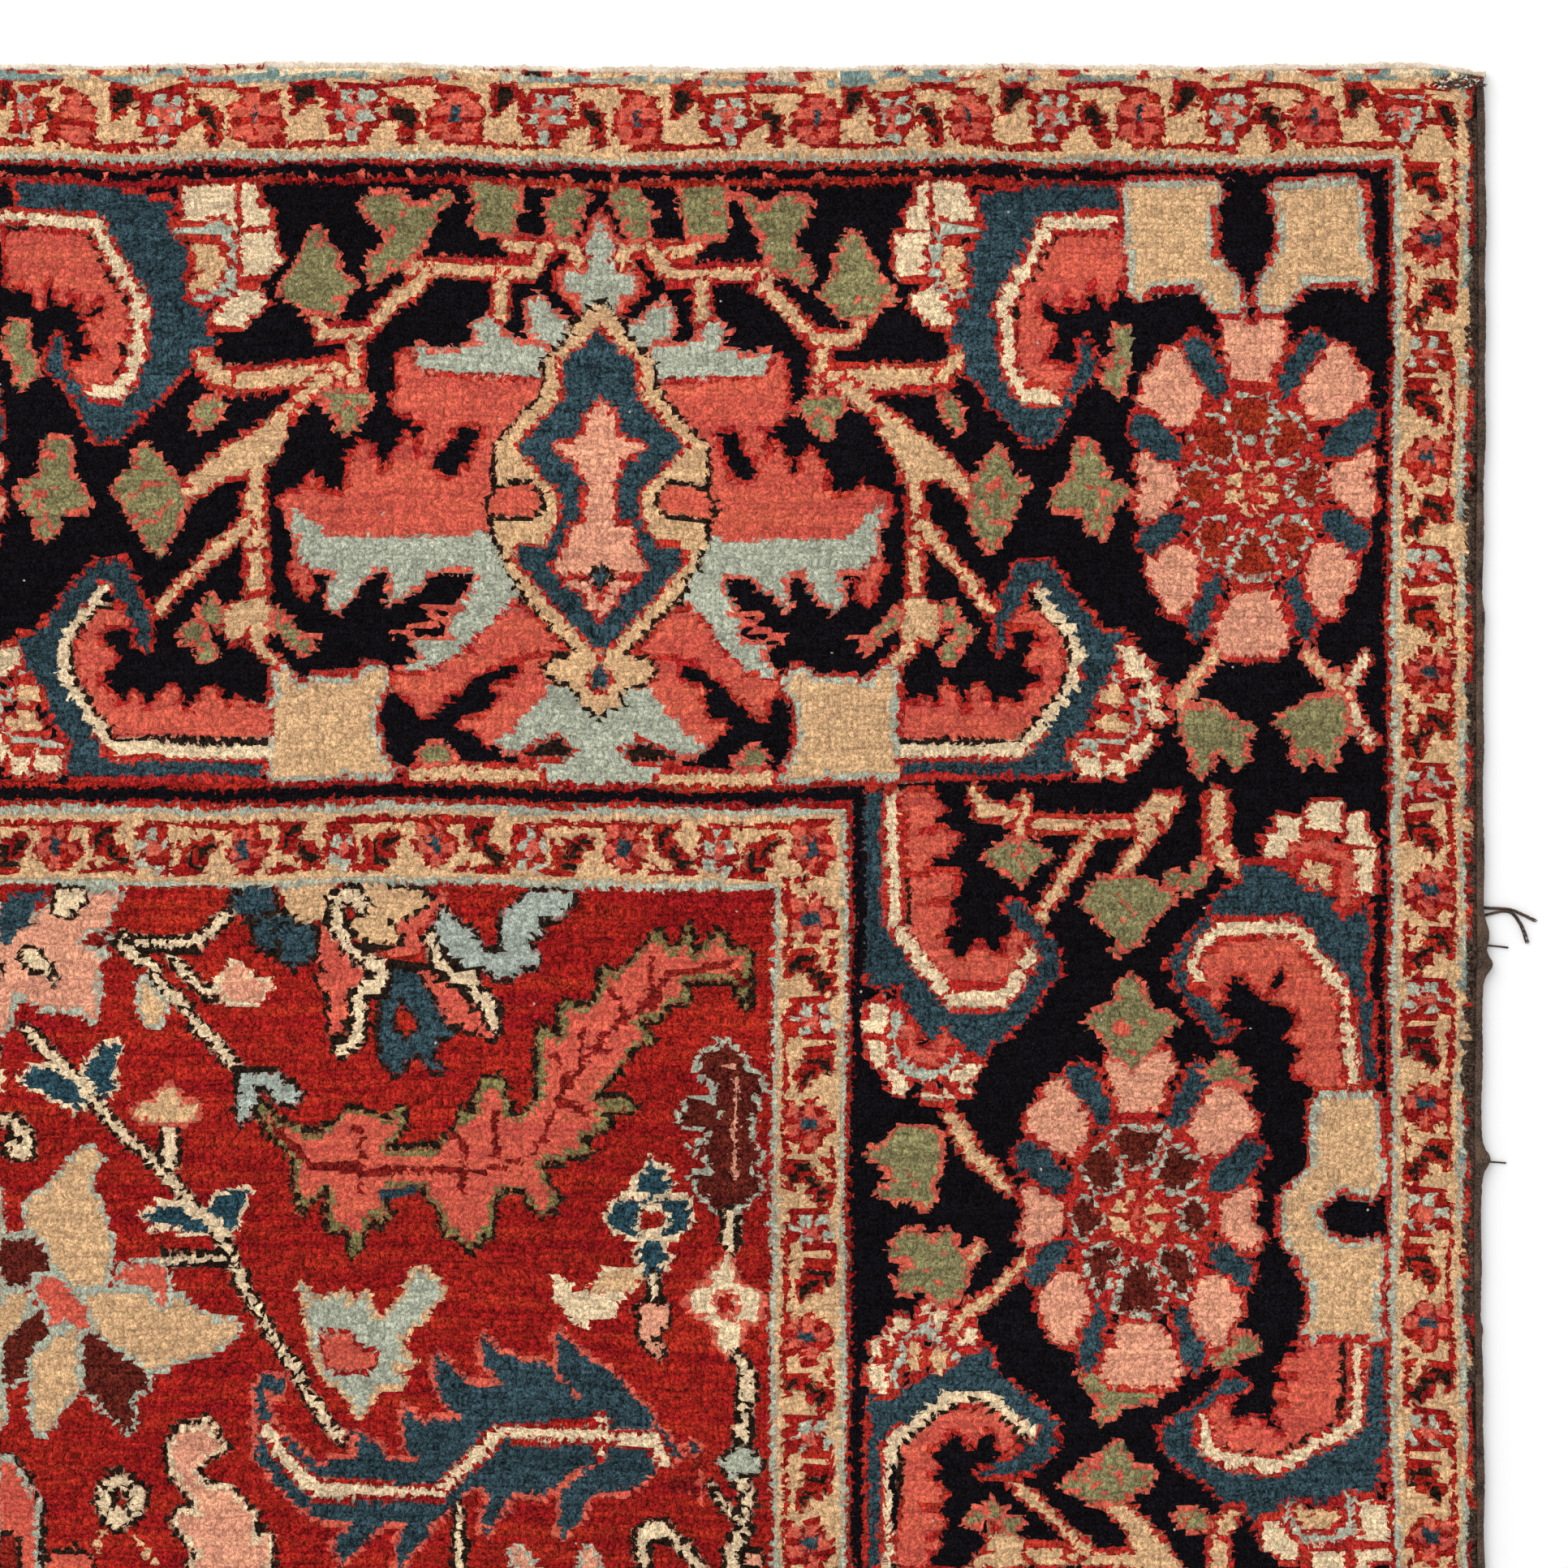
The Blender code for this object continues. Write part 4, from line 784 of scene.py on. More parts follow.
woolPile = {
    "looseness": 0.50,  # how unevenly the tufts stand, 0 is a grid
    "tuftTone": (0.78, 1.22),  # dark and light from tuft to tuft
    "partingShade": (1.05, 0.74),  # a tuft's middle, and the painted shade in the parting between tufts
    "fibreTone": (0.56, 1.44),
    "curlTone": (0.66, 1.32),
    "streakTone": (0.72, 1.30),  # abrash: rows spun from another dye lot
    "lotTone": (0.84, 1.18),
    "straying": 3.4,  # how far one dye's tufts reach into the next
    "softness": 0.16,  # of a knot, how blurred two dyes meet
    "tipSheen": 0.03,  # painted sheen on the fibre tips
    "darkGrain": 1.9,  # how much more the grain shows in the darkest dye than in the palest
    "paleFrom": 0.25,  # from this paleness on the grain shows no more than in the palest
    "deepest": 0.12,  # share of its dye that is left where the grain is darkest
    "partingFrom": (0.28, 0.66),  # from the middle to the edge of a tuft
    "streakHue": (0.4965, 0.5045),  # 0.5 keeps the dye's own hue
    "sheenFrom": (0.52, 0.74),
    "sheenColour": "8E8078",
    "lintScale": 0.028,  # a speck each 12 cm
    "lintSize": 0.006,
    "lintColour": "B9ADA0",
    "tuftRound": 0.75,  # how far a tuft's rounded top reaches
    "fibreRelief": 1.1,  # beside the relief of the tufts
    "relief": 0.0008,  # metres, from the tips down to the parting between tufts
    "reliefStrength": 0.6,
    "noises": {  # millimetres across and down, detail, roughness
        "fibre": (0.70, 1.30, 2.0, 0.60),
        "curl": (2.10, 1.90, 2.0, 0.55),
        "stray": (4.20, 4.00, 3.0, 0.60),
        "streaks": (110.0, 8.0, 4.0, 0.60),
        "lots": (580.0, 125.0, 3.0, 0.50),
    },
}


noiseSpan = (0.3, 0.7)  # a noise hardly ever leaves these values
woolIor = 1.54
eyeShares = (0.3, 0.6, 0.1)  # how much red, green and blue count in how pale a dye looks


def woolPileMaterial():  # sheared wool: dull, parted tufts, crossing fibres, and each dye strays into the next
    material, tree = newMaterial("sheared wool pile")
    yarn = addNode(tree, "Attribute", {"attribute_name": "yarn"})
    meeting = addNode(tree, "Attribute", {"attribute_name": "meeting"})
    knot = addNode(tree, "Attribute", {"attribute_name": "knot"})
    lowCorner = addNode(tree, "Attribute", {"attribute_name": "lowCorner"})
    highCorner = addNode(tree, "Attribute", {"attribute_name": "highCorner"})
    middle = -0.5 + 0.5 * woolPile["looseness"]
    shift = addNode(tree, "VectorMath", {"operation": "ADD", 1: (middle, middle, 0.0)}, {0: (knot, "Vector")})
    tuft = addNode(tree, "TexVoronoi", {"voronoi_dimensions": "2D", "Scale": 1.0,
                                        "Randomness": woolPile["looseness"]}, {"Vector": (shift, "Vector")})
    noises = {}
    for name, (across, down, detail, roughness) in woolPile["noises"].items():
        stretch = (carpet["knotWidth"] / across * 1000.0, carpet["knotLength"] / down * 1000.0, 1.0)
        placed = addNode(tree, "VectorMath", {"operation": "MULTIPLY", 1: stretch}, {0: (knot, "Vector")})
        noises[name] = addNode(tree, "TexNoise", {"noise_dimensions": "2D", "Scale": 1.0, "Detail": detail,
                                                  "Roughness": roughness}, {"Vector": (placed, "Vector")})
    # meeting is the dye that a face meets at its edge, and either dye strays into the other
    change = addNode(tree, "VectorMath", {"operation": "SUBTRACT"}, {0: (meeting, "Color"), 1: (yarn, "Color")})
    paler = addNode(tree, "VectorMath", {"operation": "DOT_PRODUCT", 1: eyeShares}, {0: (change, "Vector")})
    side = addNode(tree, "Math", {"operation": "SIGN"}, {0: (paler, "Value")})
    # the paler dye gains where the noise is low and loses where it is high
    fromLow = addNode(tree, "VectorMath", {"operation": "SUBTRACT"}, {0: (knot, "Vector"), 1: (lowCorner, "Vector")})
    fromHigh = addNode(tree, "VectorMath", {"operation": "SUBTRACT"}, {0: (highCorner, "Vector"), 1: (knot, "Vector")})
    nearest = addNode(tree, "VectorMath", {"operation": "MINIMUM"}, {0: (fromLow, "Vector"), 1: (fromHigh, "Vector")})
    apart = addNode(tree, "SeparateXYZ", {}, {"Vector": (nearest, "Vector")})
    inward = addNode(tree, "Math", {"operation": "MINIMUM"}, {0: (apart, "X"), 1: (apart, "Y")})
    reach = woolPile["straying"]
    swing = addNode(tree, "Math", {"operation": "MULTIPLY_ADD", 1: reach, 2: -0.5 * reach},
                    {0: (noises["stray"], "Fac")})
    leaning = addNode(tree, "Math", {"operation": "MULTIPLY_ADD"},
                      {0: (swing, "Value"), 1: (side, "Value"), 2: (inward, "Value")})
    own = addNode(tree, "MapRange", {"interpolation_type": "SMOOTHSTEP", "From Min": -0.5 * woolPile["softness"],
                                     "From Max": 0.5 * woolPile["softness"]}, {"Value": (leaning, "Value")})
    mixed = addNode(tree, "Mix", {"data_type": "RGBA"},
                    {"Factor": (own, "Result"), "A": (meeting, "Color"), "B": (yarn, "Color")})
    shade = addNode(tree, "SeparateColor", {}, {"Color": (tuft, "Color")})
    tones = {}
    for name, source, output, (lowest, highest) in (
            ("tuftTone", shade, "Red", (0.0, 1.0)), ("partingShade", tuft, "Distance", woolPile["partingFrom"]),
            ("fibreTone", noises["fibre"], "Fac", noiseSpan), ("curlTone", noises["curl"], "Fac", noiseSpan),
            ("streakTone", noises["streaks"], "Fac", noiseSpan), ("lotTone", noises["lots"], "Fac", noiseSpan)):
        tones[name] = addNode(tree, "MapRange", {"From Min": lowest, "From Max": highest, "To Min": woolPile[name][0],
                                                 "To Max": woolPile[name][1]}, {"Value": (source, output)})
    value = tones["tuftTone"]
    # the parting tone darkens the colour between tufts: painted shade
    for name in ("partingShade", "fibreTone", "curlTone"):
        value = addNode(tree, "Math", {"operation": "MULTIPLY"}, {0: (value, 0), 1: (tones[name], "Result")})
    paleness = addNode(tree, "VectorMath", {"operation": "DOT_PRODUCT", 1: eyeShares}, {0: (mixed, "Result")})
    gain = addNode(tree, "MapRange", {"From Min": 0.0, "From Max": woolPile["paleFrom"],
                                      "To Min": woolPile["darkGrain"], "To Max": 1.0}, {"Value": (paleness, "Value")})
    # the grain holds the random tone of tufts and fibres and the painted shade between tufts
    grain = addNode(tree, "Math", {"operation": "SUBTRACT", 1: 1.0}, {0: (value, 0)})
    value = addNode(tree, "Math", {"operation": "MULTIPLY_ADD", 2: 1.0}, {0: (grain, "Value"), 1: (gain, "Result")})
    value = addNode(tree, "Math", {"operation": "MAXIMUM", 1: woolPile["deepest"]}, {0: (value, "Value")})
    abrash = addNode(tree, "Math", {"operation": "MULTIPLY"},
                     {0: (tones["streakTone"], "Result"), 1: (tones["lotTone"], "Result")})
    strength = addNode(tree, "Mix", {"data_type": "FLOAT", "A": 1.0},
                       {"Factor": (yarn, "Alpha"), "B": (abrash, "Value")})
    value = addNode(tree, "Math", {"operation": "MULTIPLY"}, {0: (value, 0), 1: (strength, "Result")})
    hue = addNode(tree, "MapRange", {"From Min": noiseSpan[0], "From Max": noiseSpan[1],
                                     "To Min": woolPile["streakHue"][0], "To Max": woolPile["streakHue"][1]},
                  {"Value": (noises["streaks"], "Fac")})
    dyed = addNode(tree, "HueSaturation", {"Saturation": 1.0},
                   {"Hue": (hue, "Result"), "Value": (value, "Value"), "Color": (mixed, "Result")})
    # painted sheen: a paler colour mixed into the tips of the fibres
    tips = addNode(tree, "MapRange", {"From Min": woolPile["sheenFrom"][0], "From Max": woolPile["sheenFrom"][1],
                                      "To Min": 0.0, "To Max": woolPile["tipSheen"]},
                   {"Value": (noises["fibre"], "Fac")})
    # the dyed colour with the painted sheen on the fibre tips
    worn = addNode(tree, "Mix", {"data_type": "RGBA", "B": linear(woolPile["sheenColour"])},
                   {"Factor": (tips, "Result"), "A": (dyed, "Color")})
    lint = addNode(tree, "TexVoronoi", {"voronoi_dimensions": "2D", "Scale": woolPile["lintScale"], "Randomness": 1.0},
                   {"Vector": (knot, "Vector")})
    speck = addNode(tree, "Math", {"operation": "LESS_THAN", 1: woolPile["lintSize"]}, {0: (lint, "Distance")})
    colour = addNode(tree, "Mix", {"data_type": "RGBA", "B": linear(woolPile["lintColour"])},
                     {"Factor": (speck, "Value"), "A": (worn, "Result")})
    rounded = addNode(tree, "MapRange", {"interpolation_type": "SMOOTHSTEP", "From Min": 0.0,
                                         "From Max": woolPile["tuftRound"], "To Min": 1.0, "To Max": 0.0},
                      {"Value": (tuft, "Distance")})
    height = addNode(tree, "Math", {"operation": "MULTIPLY_ADD", 1: woolPile["fibreRelief"]},
                     {0: (noises["fibre"], "Fac"), 2: (rounded, "Result")})
    relief = addNode(tree, "Bump", {"Strength": woolPile["reliefStrength"], "Distance": woolPile["relief"]},
                     {"Height": (height, "Value")})
    shader = addNode(tree, "BsdfPrincipled", {"Roughness": 0.95, "Specular IOR Level": 0.04, "IOR": woolIor,
                                              "Sheen Weight": 0.02, "Sheen Roughness": 0.5},
                     {"Base Color": (colour, "Result"), "Normal": (relief, "Normal")})
    addNode(tree, "OutputMaterial", {}, {"Surface": (shader, "BSDF")})
    return material


knottedBack = {
    "oneBand": 0.314,  # the scale that gives one band to a unit, here one knot of 3.5 by 3.75 mm
    "weftWander": 0.6,
    "warpWander": 0.3,
    "grainScale": 1.3,
    "grainShare": 0.3,
    "paleBeads": 0.35,  # from here on a bead is at its palest
    "beadShade": (0.45, 0.95),
    "saturation": 0.9,
    "relief": 0.0006,
    "reliefStrength": 0.6,
    "roughness": 0.88,
}
yarnSpecular = 0.2


def knottedBackMaterial():  # the same yarns tight round the warps: small beads, with painted shade in the grooves between them
    material, tree = newMaterial("knotted wool back")
    yarn = addNode(tree, "Attribute", {"attribute_name": "yarn"})
    knot = addNode(tree, "Attribute", {"attribute_name": "knot"})
    weft = addNode(tree, "TexWave", {"wave_type": "BANDS", "bands_direction": "Y", "Scale": knottedBack["oneBand"],
                                     "Distortion": knottedBack["weftWander"], "Detail": 1.0},
                   {"Vector": (knot, "Vector")})
    warp = addNode(tree, "TexWave", {"wave_type": "BANDS", "bands_direction": "X", "Scale": 2 * knottedBack["oneBand"],
                                     "Distortion": knottedBack["warpWander"]}, {"Vector": (knot, "Vector")})
    grain = addNode(tree, "TexNoise", {"noise_dimensions": "2D", "Scale": knottedBack["grainScale"], "Detail": 2.0},
                    {"Vector": (knot, "Vector")})
    beads = addNode(tree, "Math", {"operation": "MULTIPLY"}, {0: (weft, "Fac"), 1: (warp, "Fac")})
    # painted shade: the yarn darkens from each bead's top down into the grooves
    shade = addNode(tree, "MapRange", {"From Max": knottedBack["paleBeads"], "To Min": knottedBack["beadShade"][0],
                                       "To Max": knottedBack["beadShade"][1]}, {"Value": (beads, "Value")})
    tone = addNode(tree, "Math", {"operation": "MULTIPLY_ADD", 1: knottedBack["grainShare"]},
                   {0: (grain, "Fac"), 2: (shade, "Result")})
    dyed = addNode(tree, "HueSaturation", {"Saturation": knottedBack["saturation"]},
                   {"Value": (tone, "Value"), "Color": (yarn, "Color")})
    relief = addNode(tree, "Bump", {"Strength": knottedBack["reliefStrength"], "Distance": knottedBack["relief"]},
                     {"Height": (beads, "Value")})
    shader = addNode(tree, "BsdfPrincipled", {"Roughness": knottedBack["roughness"], "Specular IOR Level": yarnSpecular,
                                              "IOR": woolIor},
                     {"Base Color": (dyed, "Color"), "Normal": (relief, "Normal")})
    addNode(tree, "OutputMaterial", {}, {"Surface": (shader, "BSDF")})
    return material


spunYarn = {
    "detail": 4.0,
    "contrast": 0.7,
    "patches": 0.1,  # of the strands' own scale
    "patchShare": 0.5,
    "tones": (0.60, 0.94),  # from here it is all dark yarn, and from there all pale
    "relief": 0.0005,
    "reliefStrength": 0.7,
    "sheen": 0.05,
}


def spunMaterial(name, dark, pale, strandSize, roughness):  # spun hair or cotton: dark and pale strands, dry
    material, tree = newMaterial(name)
    place = addNode(tree, "TexCoord")
    strands = addNode(tree, "TexNoise", {"Scale": 1.0 / strandSize, "Detail": spunYarn["detail"],
                                         "Roughness": spunYarn["contrast"]}, {"Vector": (place, "Object")})
    patches = addNode(tree, "TexNoise", {"Scale": spunYarn["patches"] / strandSize, "Detail": 2.0},
                      {"Vector": (place, "Object")})
    both = addNode(tree, "Math", {"operation": "MULTIPLY_ADD", 1: spunYarn["patchShare"]},
                   {0: (patches, "Fac"), 2: (strands, "Fac")})
    share = addNode(tree, "MapRange", {"From Min": spunYarn["tones"][0], "From Max": spunYarn["tones"][1]},
                    {"Value": (both, "Value")})
    colour = addNode(tree, "Mix", {"data_type": "RGBA", "A": linear(dark), "B": linear(pale)},
                     {"Factor": (share, "Result")})
    relief = addNode(tree, "Bump", {"Strength": spunYarn["reliefStrength"], "Distance": spunYarn["relief"]},
                     {"Height": (strands, "Fac")})
    shader = addNode(tree, "BsdfPrincipled", {"Roughness": roughness, "Specular IOR Level": yarnSpecular,
                                              "IOR": woolIor, "Sheen Weight": spunYarn["sheen"]},
                     {"Base Color": (colour, "Result"), "Normal": (relief, "Normal")})
    addNode(tree, "OutputMaterial", {}, {"Surface": (shader, "BSDF")})
    return material


pileMaterial = woolPileMaterial()
backMaterial = knottedBackMaterial()
goatHair = spunMaterial("spun goat hair", "1A110E", "705848", 0.0011, 0.75)  # strand sizes in metres
cottonYarn = spunMaterial("undyed cotton warp", "BFA68C", "FBEEDC", 0.0014, 0.9)
looseWool = spunMaterial("loose madder wool", "8A1515", "D0402F", 0.0012, 0.92)
print("materials made")

pileTiles = {
    "longestRun": 10,  # knots of one dye in one face
    "tallestRun": 6,
    "acrossSeams": (0, 259, 518, 777),  # twelve pieces, for the limit on one piece
    "downSeams": (0, 256, 512, 768, 1025),
    "stray": 0.26,  # of a knot, how unevenly a knot sits in its row
    "bow": 0.30,  # of a knot, how far rows and lines wander
    "bendsAcross": 14,  # knots from one bend to the next
    "bendsDown": 18,
    "tipHeight": 0.00022,
    "tipWaves": 9,
    "tipDrop": 0.0004,  # the tips' middle height below the top
    "tipLimit": 0.0008,
}
backTiles = {  # every second knot, for the limit on triangles
    "longestRun": 12,
    "tallestRun": 12,
    "acrossSeams": (0, 195, 389),
    "downSeams": (0, 128, 257, 385, 513),
}
everyKnot, everySecondKnot = 1, 2
farAway = 9999.0  # knots, for a side of a face that meets no other dye
bakeMargin = 0.004  # left free round a piece on its OFBake sheet

lattice = (carpet["rows"] + 1, carpet["columns"] + 1)
yarnTable = np.array([linear(dyes[name], yarnLots.get(name, otherLots)) for name in dyeNames])


def sameDyeRuns(pattern, tiles):  # boxes of one dye: left, right, top, bottom in squares of the pattern
    done, growing = [], {}
    for row in range(pattern.shape[0]):
        line = pattern[row]
        cuts = sorted(set((np.nonzero(line[1:] != line[:-1])[0] + 1).tolist()) | set(tiles["acrossSeams"]))
        fresh = {}
        for start, stop in zip(cuts, cuts[1:]):
            pieces = max(1, math.ceil((stop - start) / tiles["longestRun"]))
            stops = [start + round((stop - start) * number / pieces) for number in range(pieces + 1)]
            for left, right in zip(stops, stops[1:]):
                key = (left, right, int(line[left]))
                top = growing.pop(key, None)
                if top is not None and (row - top >= tiles["tallestRun"] or row in tiles["downSeams"]):
                    done.append((left, right, top, row, key[2]))
                    top = None
                fresh[key] = row if top is None else top
        done += [(left, right, top, row, dye) for (left, right, dye), top in growing.items()]
        growing = fresh
    done += [(left, right, top, pattern.shape[0], dye) for (left, right, dye), top in growing.items()]
    return done


def markCorners(boxes, shape):
    isCorner = np.zeros(shape, dtype=bool)
    for left, right, top, bottom, dye in boxes:
        isCorner[top, left] = isCorner[top, right] = isCorner[bottom, left] = isCorner[bottom, right] = True
    return isCorner


def outlineOf(box, isCorner):  # a box's own corners and its neighbours' corners on its sides
    left, right, top, bottom = box[:4]
    upper = left + np.nonzero(isCorner[top, left:right])[0]
    rightSide = top + np.nonzero(isCorner[top:bottom, right])[0]
    lower = left + 1 + np.nonzero(isCorner[bottom, left + 1:right + 1])[0]
    leftSide = top + 1 + np.nonzero(isCorner[top + 1:bottom + 1, left])[0]
    ring = [(top, column) for column in upper] + [(row, right) for row in rightSide]
    ring += [(bottom, column) for column in lower[::-1]] + [(row, left) for row in leftSide[::-1]]
    return ring


columnOf, rowOf = np.meshgrid(np.arange(lattice[1], dtype=float), np.arange(lattice[0], dtype=float))
inner = np.zeros(lattice)
inner[1:-1, 1:-1] = 1.0
strayAcross = (unevenness(1, pileTiles["stray"]) + unevenness(pileTiles["bendsAcross"], pileTiles["bow"])) * inner
strayDown = (unevenness(1, pileTiles["stray"]) + unevenness(pileTiles["bendsDown"], pileTiles["bow"])) * inner
latticeX, latticeY = placeOf(columnOf + strayAcross, rowOf + strayDown)
tipHeight = unevenness(1, pileTiles["tipHeight"]) + unevenness(pileTiles["tipWaves"], pileTiles["tipHeight"])
latticeZ = edges["pileTop"] - pileTiles["tipDrop"] + np.clip(tipHeight, -pileTiles["tipLimit"], pileTiles["tipLimit"])
latticeZ[0, :] = latticeZ[-1, :] = edges["pileTop"] - edges["rounding"]
latticeZ[:, 0] = latticeZ[:, -1] = edges["pileTop"] - edges["rounding"]


def meetingDyes(spots, own):  # for each corner of each face, the mean of the dyes round it that aren't the face's own
    around = np.pad(knots, 1, mode="edge")
    total, count = np.zeros((len(spots), 4)), np.zeros((len(spots), 1))
    for row, column in ((0, 0), (0, 1), (1, 0), (1, 1)):
        dye = around[spots[:, 0] + row, spots[:, 1] + column]
        differs = (dye != own)[:, None]
        total += yarnTable[dye] * differs
        count += differs
    return np.where(count > 0, total / np.maximum(count, 1), yarnTable[own])


def writeAttribute(mesh, name, kind, domain, field, values):
    attribute = mesh.attributes.new(name, kind, domain)
    attribute.data.foreach_set(field, np.asarray(values, dtype=np.float32).ravel())


def facingOther(pattern, box):  # for its left, top, right and bottom: does the whole side meet other dyes
    left, right, top, bottom, dye = box
    return (left > 0 and not (pattern[top:bottom, left - 1] == dye).any(),
            top > 0 and not (pattern[top - 1, left:right] == dye).any(),
            right < pattern.shape[1] and not (pattern[top:bottom, right] == dye).any(),
            bottom < pattern.shape[0] and not (pattern[bottom, left:right] == dye).any())


def carpetPiece(name, pattern, boxes, isCorner, step, span, material):  # step: knots to one square of the pattern
    left, right, top, bottom = span
    mine = [box for box in boxes if left <= box[0] < right and top <= box[2] < bottom]
    back = material is backMaterial
    index, places, knotPlaces, faces, yarns, lows, highs = {}, [], [], [], [], [], []

    def vertex(row, column, onFloor):
        key = (row, column, onFloor)
        if key not in index:
            index[key] = len(places)
            row, column = min(row * step, lattice[0] - 1), min(column * step, lattice[1] - 1)
            places.append((latticeX[row, column], latticeY[row, column], 0.0 if onFloor else latticeZ[row, column]))
            knotPlaces.append((row, column))
        return index[key]

    def addFace(face, box, meets):
        faces.append(face)
        yarns.append(box[4])
        lows.append((box[0] if meets[0] else -farAway, box[2] if meets[1] else -farAway, -farAway))
        highs.append((box[1] if meets[2] else farAway, box[3] if meets[3] else farAway, farAway))

    for box in mine:
        ring = outlineOf(box, isCorner)
        face = [vertex(row, column, back) for row, column in ring]
        addFace(face if back else face[::-1], box, (False,) * 4 if back else facingOther(pattern, box))
        if back:
            continue
        for one, two in zip(ring, ring[1:] + ring[:1]):  # the cloth's cut side, down to the floor
            if any(one[way] == two[way] and one[way] in (0, lattice[way] - 1) for way in (0, 1)):
                addFace([vertex(*one, False), vertex(*two, False), vertex(*two, True), vertex(*one, True)], box,
                        (False,) * 4)
    mesh = bpy.data.meshes.new(name)
    mesh.from_pydata(places, [], faces)
    mesh.update()
    spots = np.array(knotPlaces)
    writeAttribute(mesh, "yarn", "FLOAT_COLOR", "FACE", "color", yarnTable[yarns])
    writeAttribute(mesh, "knot", "FLOAT_VECTOR", "POINT", "vector", np.insert(spots[:, ::-1], 2, 0, axis=1))
    if not back:
        writeAttribute(mesh, "lowCorner", "FLOAT_VECTOR", "FACE", "vector", lows)
        writeAttribute(mesh, "highCorner", "FLOAT_VECTOR", "FACE", "vector", highs)
    uv = mesh.uv_layers.new(name="OFBake")
    vertexOf = np.zeros(len(mesh.loops), dtype=np.int32)
    mesh.loops.foreach_get("vertex_index", vertexOf)
    spots = spots[vertexOf]
    used = 1 - 2 * bakeMargin
    across = (spots[:, 1] - left * step) / ((right - left) * step) * used + bakeMargin
    down = 1.0 - ((spots[:, 0] - top * step) / ((bottom - top) * step) * used + bakeMargin)
    uv.data.foreach_set("uv", np.stack([across, down], axis=1).astype(np.float32).ravel())
    if not back:
        own = np.repeat(yarns, [len(face) for face in faces])
        writeAttribute(mesh, "meeting", "FLOAT_COLOR", "CORNER", "color", meetingDyes(spots, own))
    mesh.shade_smooth()
    mesh.materials.append(material)
    piece = bpy.data.objects.new(name, mesh)
    bpy.context.collection.objects.link(piece)
    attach(piece, "root")
    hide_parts("knotted_carpet")
    spans = np.array(places)
    triangles = sum(len(face) - 2 for face in faces)
    return triangles


def carpetPieces(name, pattern, step, tiles, material):
    boxes = sameDyeRuns(pattern, tiles)
    isCorner = markCorners(boxes, (pattern.shape[0] + 1, pattern.shape[1] + 1))
    total, number = 0, 0
    for top, bottom in zip(tiles["downSeams"], tiles["downSeams"][1:]):
        for left, right in zip(tiles["acrossSeams"], tiles["acrossSeams"][1:]):
            number += 1
            total += carpetPiece("%s_%d" % (name, number), pattern, boxes, isCorner, step, (left, right, top, bottom),
                                 material)
    print(name, "pieces have", total, "triangles")


carpetPieces("pile", knots, everyKnot, pileTiles, pileMaterial)
carpetPieces("back", knots[::2, ::2], everySecondKnot, backTiles, backMaterial)


def strandRings(points, radii, sides):
    points = np.array(points, dtype=float)
    ahead = np.gradient(points, axis=0)
    ahead /= np.linalg.norm(ahead, axis=1)[:, None]
    aside = np.cross(ahead, (0.0, 0.0, 1.0))
    lengths = np.linalg.norm(aside, axis=1)
    aside[lengths < 1e-6] = (1.0, 0.0, 0.0)
    aside /= np.linalg.norm(aside, axis=1)[:, None]
    above = np.cross(aside, ahead)
    turn = np.arange(sides) * math.tau / sides
    radii = np.array(radii, dtype=float)[:, None, None]
    return (points[:, None, :] + radii * (np.cos(turn)[None, :, None] * aside[:, None, :]
                                          + np.sin(turn)[None, :, None] * above[:, None, :]))


def addStrand(places, faces, points, radii, sides):
    rings = strandRings(points, radii, sides)
    first = len(places)
    places += [tuple(place) for place in rings.reshape(-1, 3)]
    for ring in range(len(rings) - 1):
        for side in range(sides):
            other = (side + 1) % sides
            faces.append((first + ring * sides + side, first + ring * sides + other,
                          first + (ring + 1) * sides + other, first + (ring + 1) * sides + side))
    faces.append(tuple(first + side for side in reversed(range(sides))))
    faces.append(tuple(first + (len(rings) - 1) * sides + side for side in range(sides)))


def strandPiece(name, places, faces, material, node, slot):
    mesh = bpy.data.meshes.new(name)
    mesh.from_pydata(places, [], faces)
    mesh.update()
    mesh.shade_smooth()
    mesh.materials.append(material)
    piece = bpy.data.objects.new(name, mesh)
    bpy.context.collection.objects.link(piece)
    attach(piece, "root")
    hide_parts(node)


rollShape = {  # metres, shares and sines, the same for the overcast sides and the felted ends
    "drift": 0.35,  # of a turn, how far the winding drifts
    "driftRate": 61.0,
    "hollow": 0.6,  # of the ridge, the height left out between turns
    "uneven": 0.5,
    "squareness": 0.7,  # 1 is an ellipse, less is fuller
    "skin": 0.0002,  # room for the ridges
    "lowest": 0.00005,
}


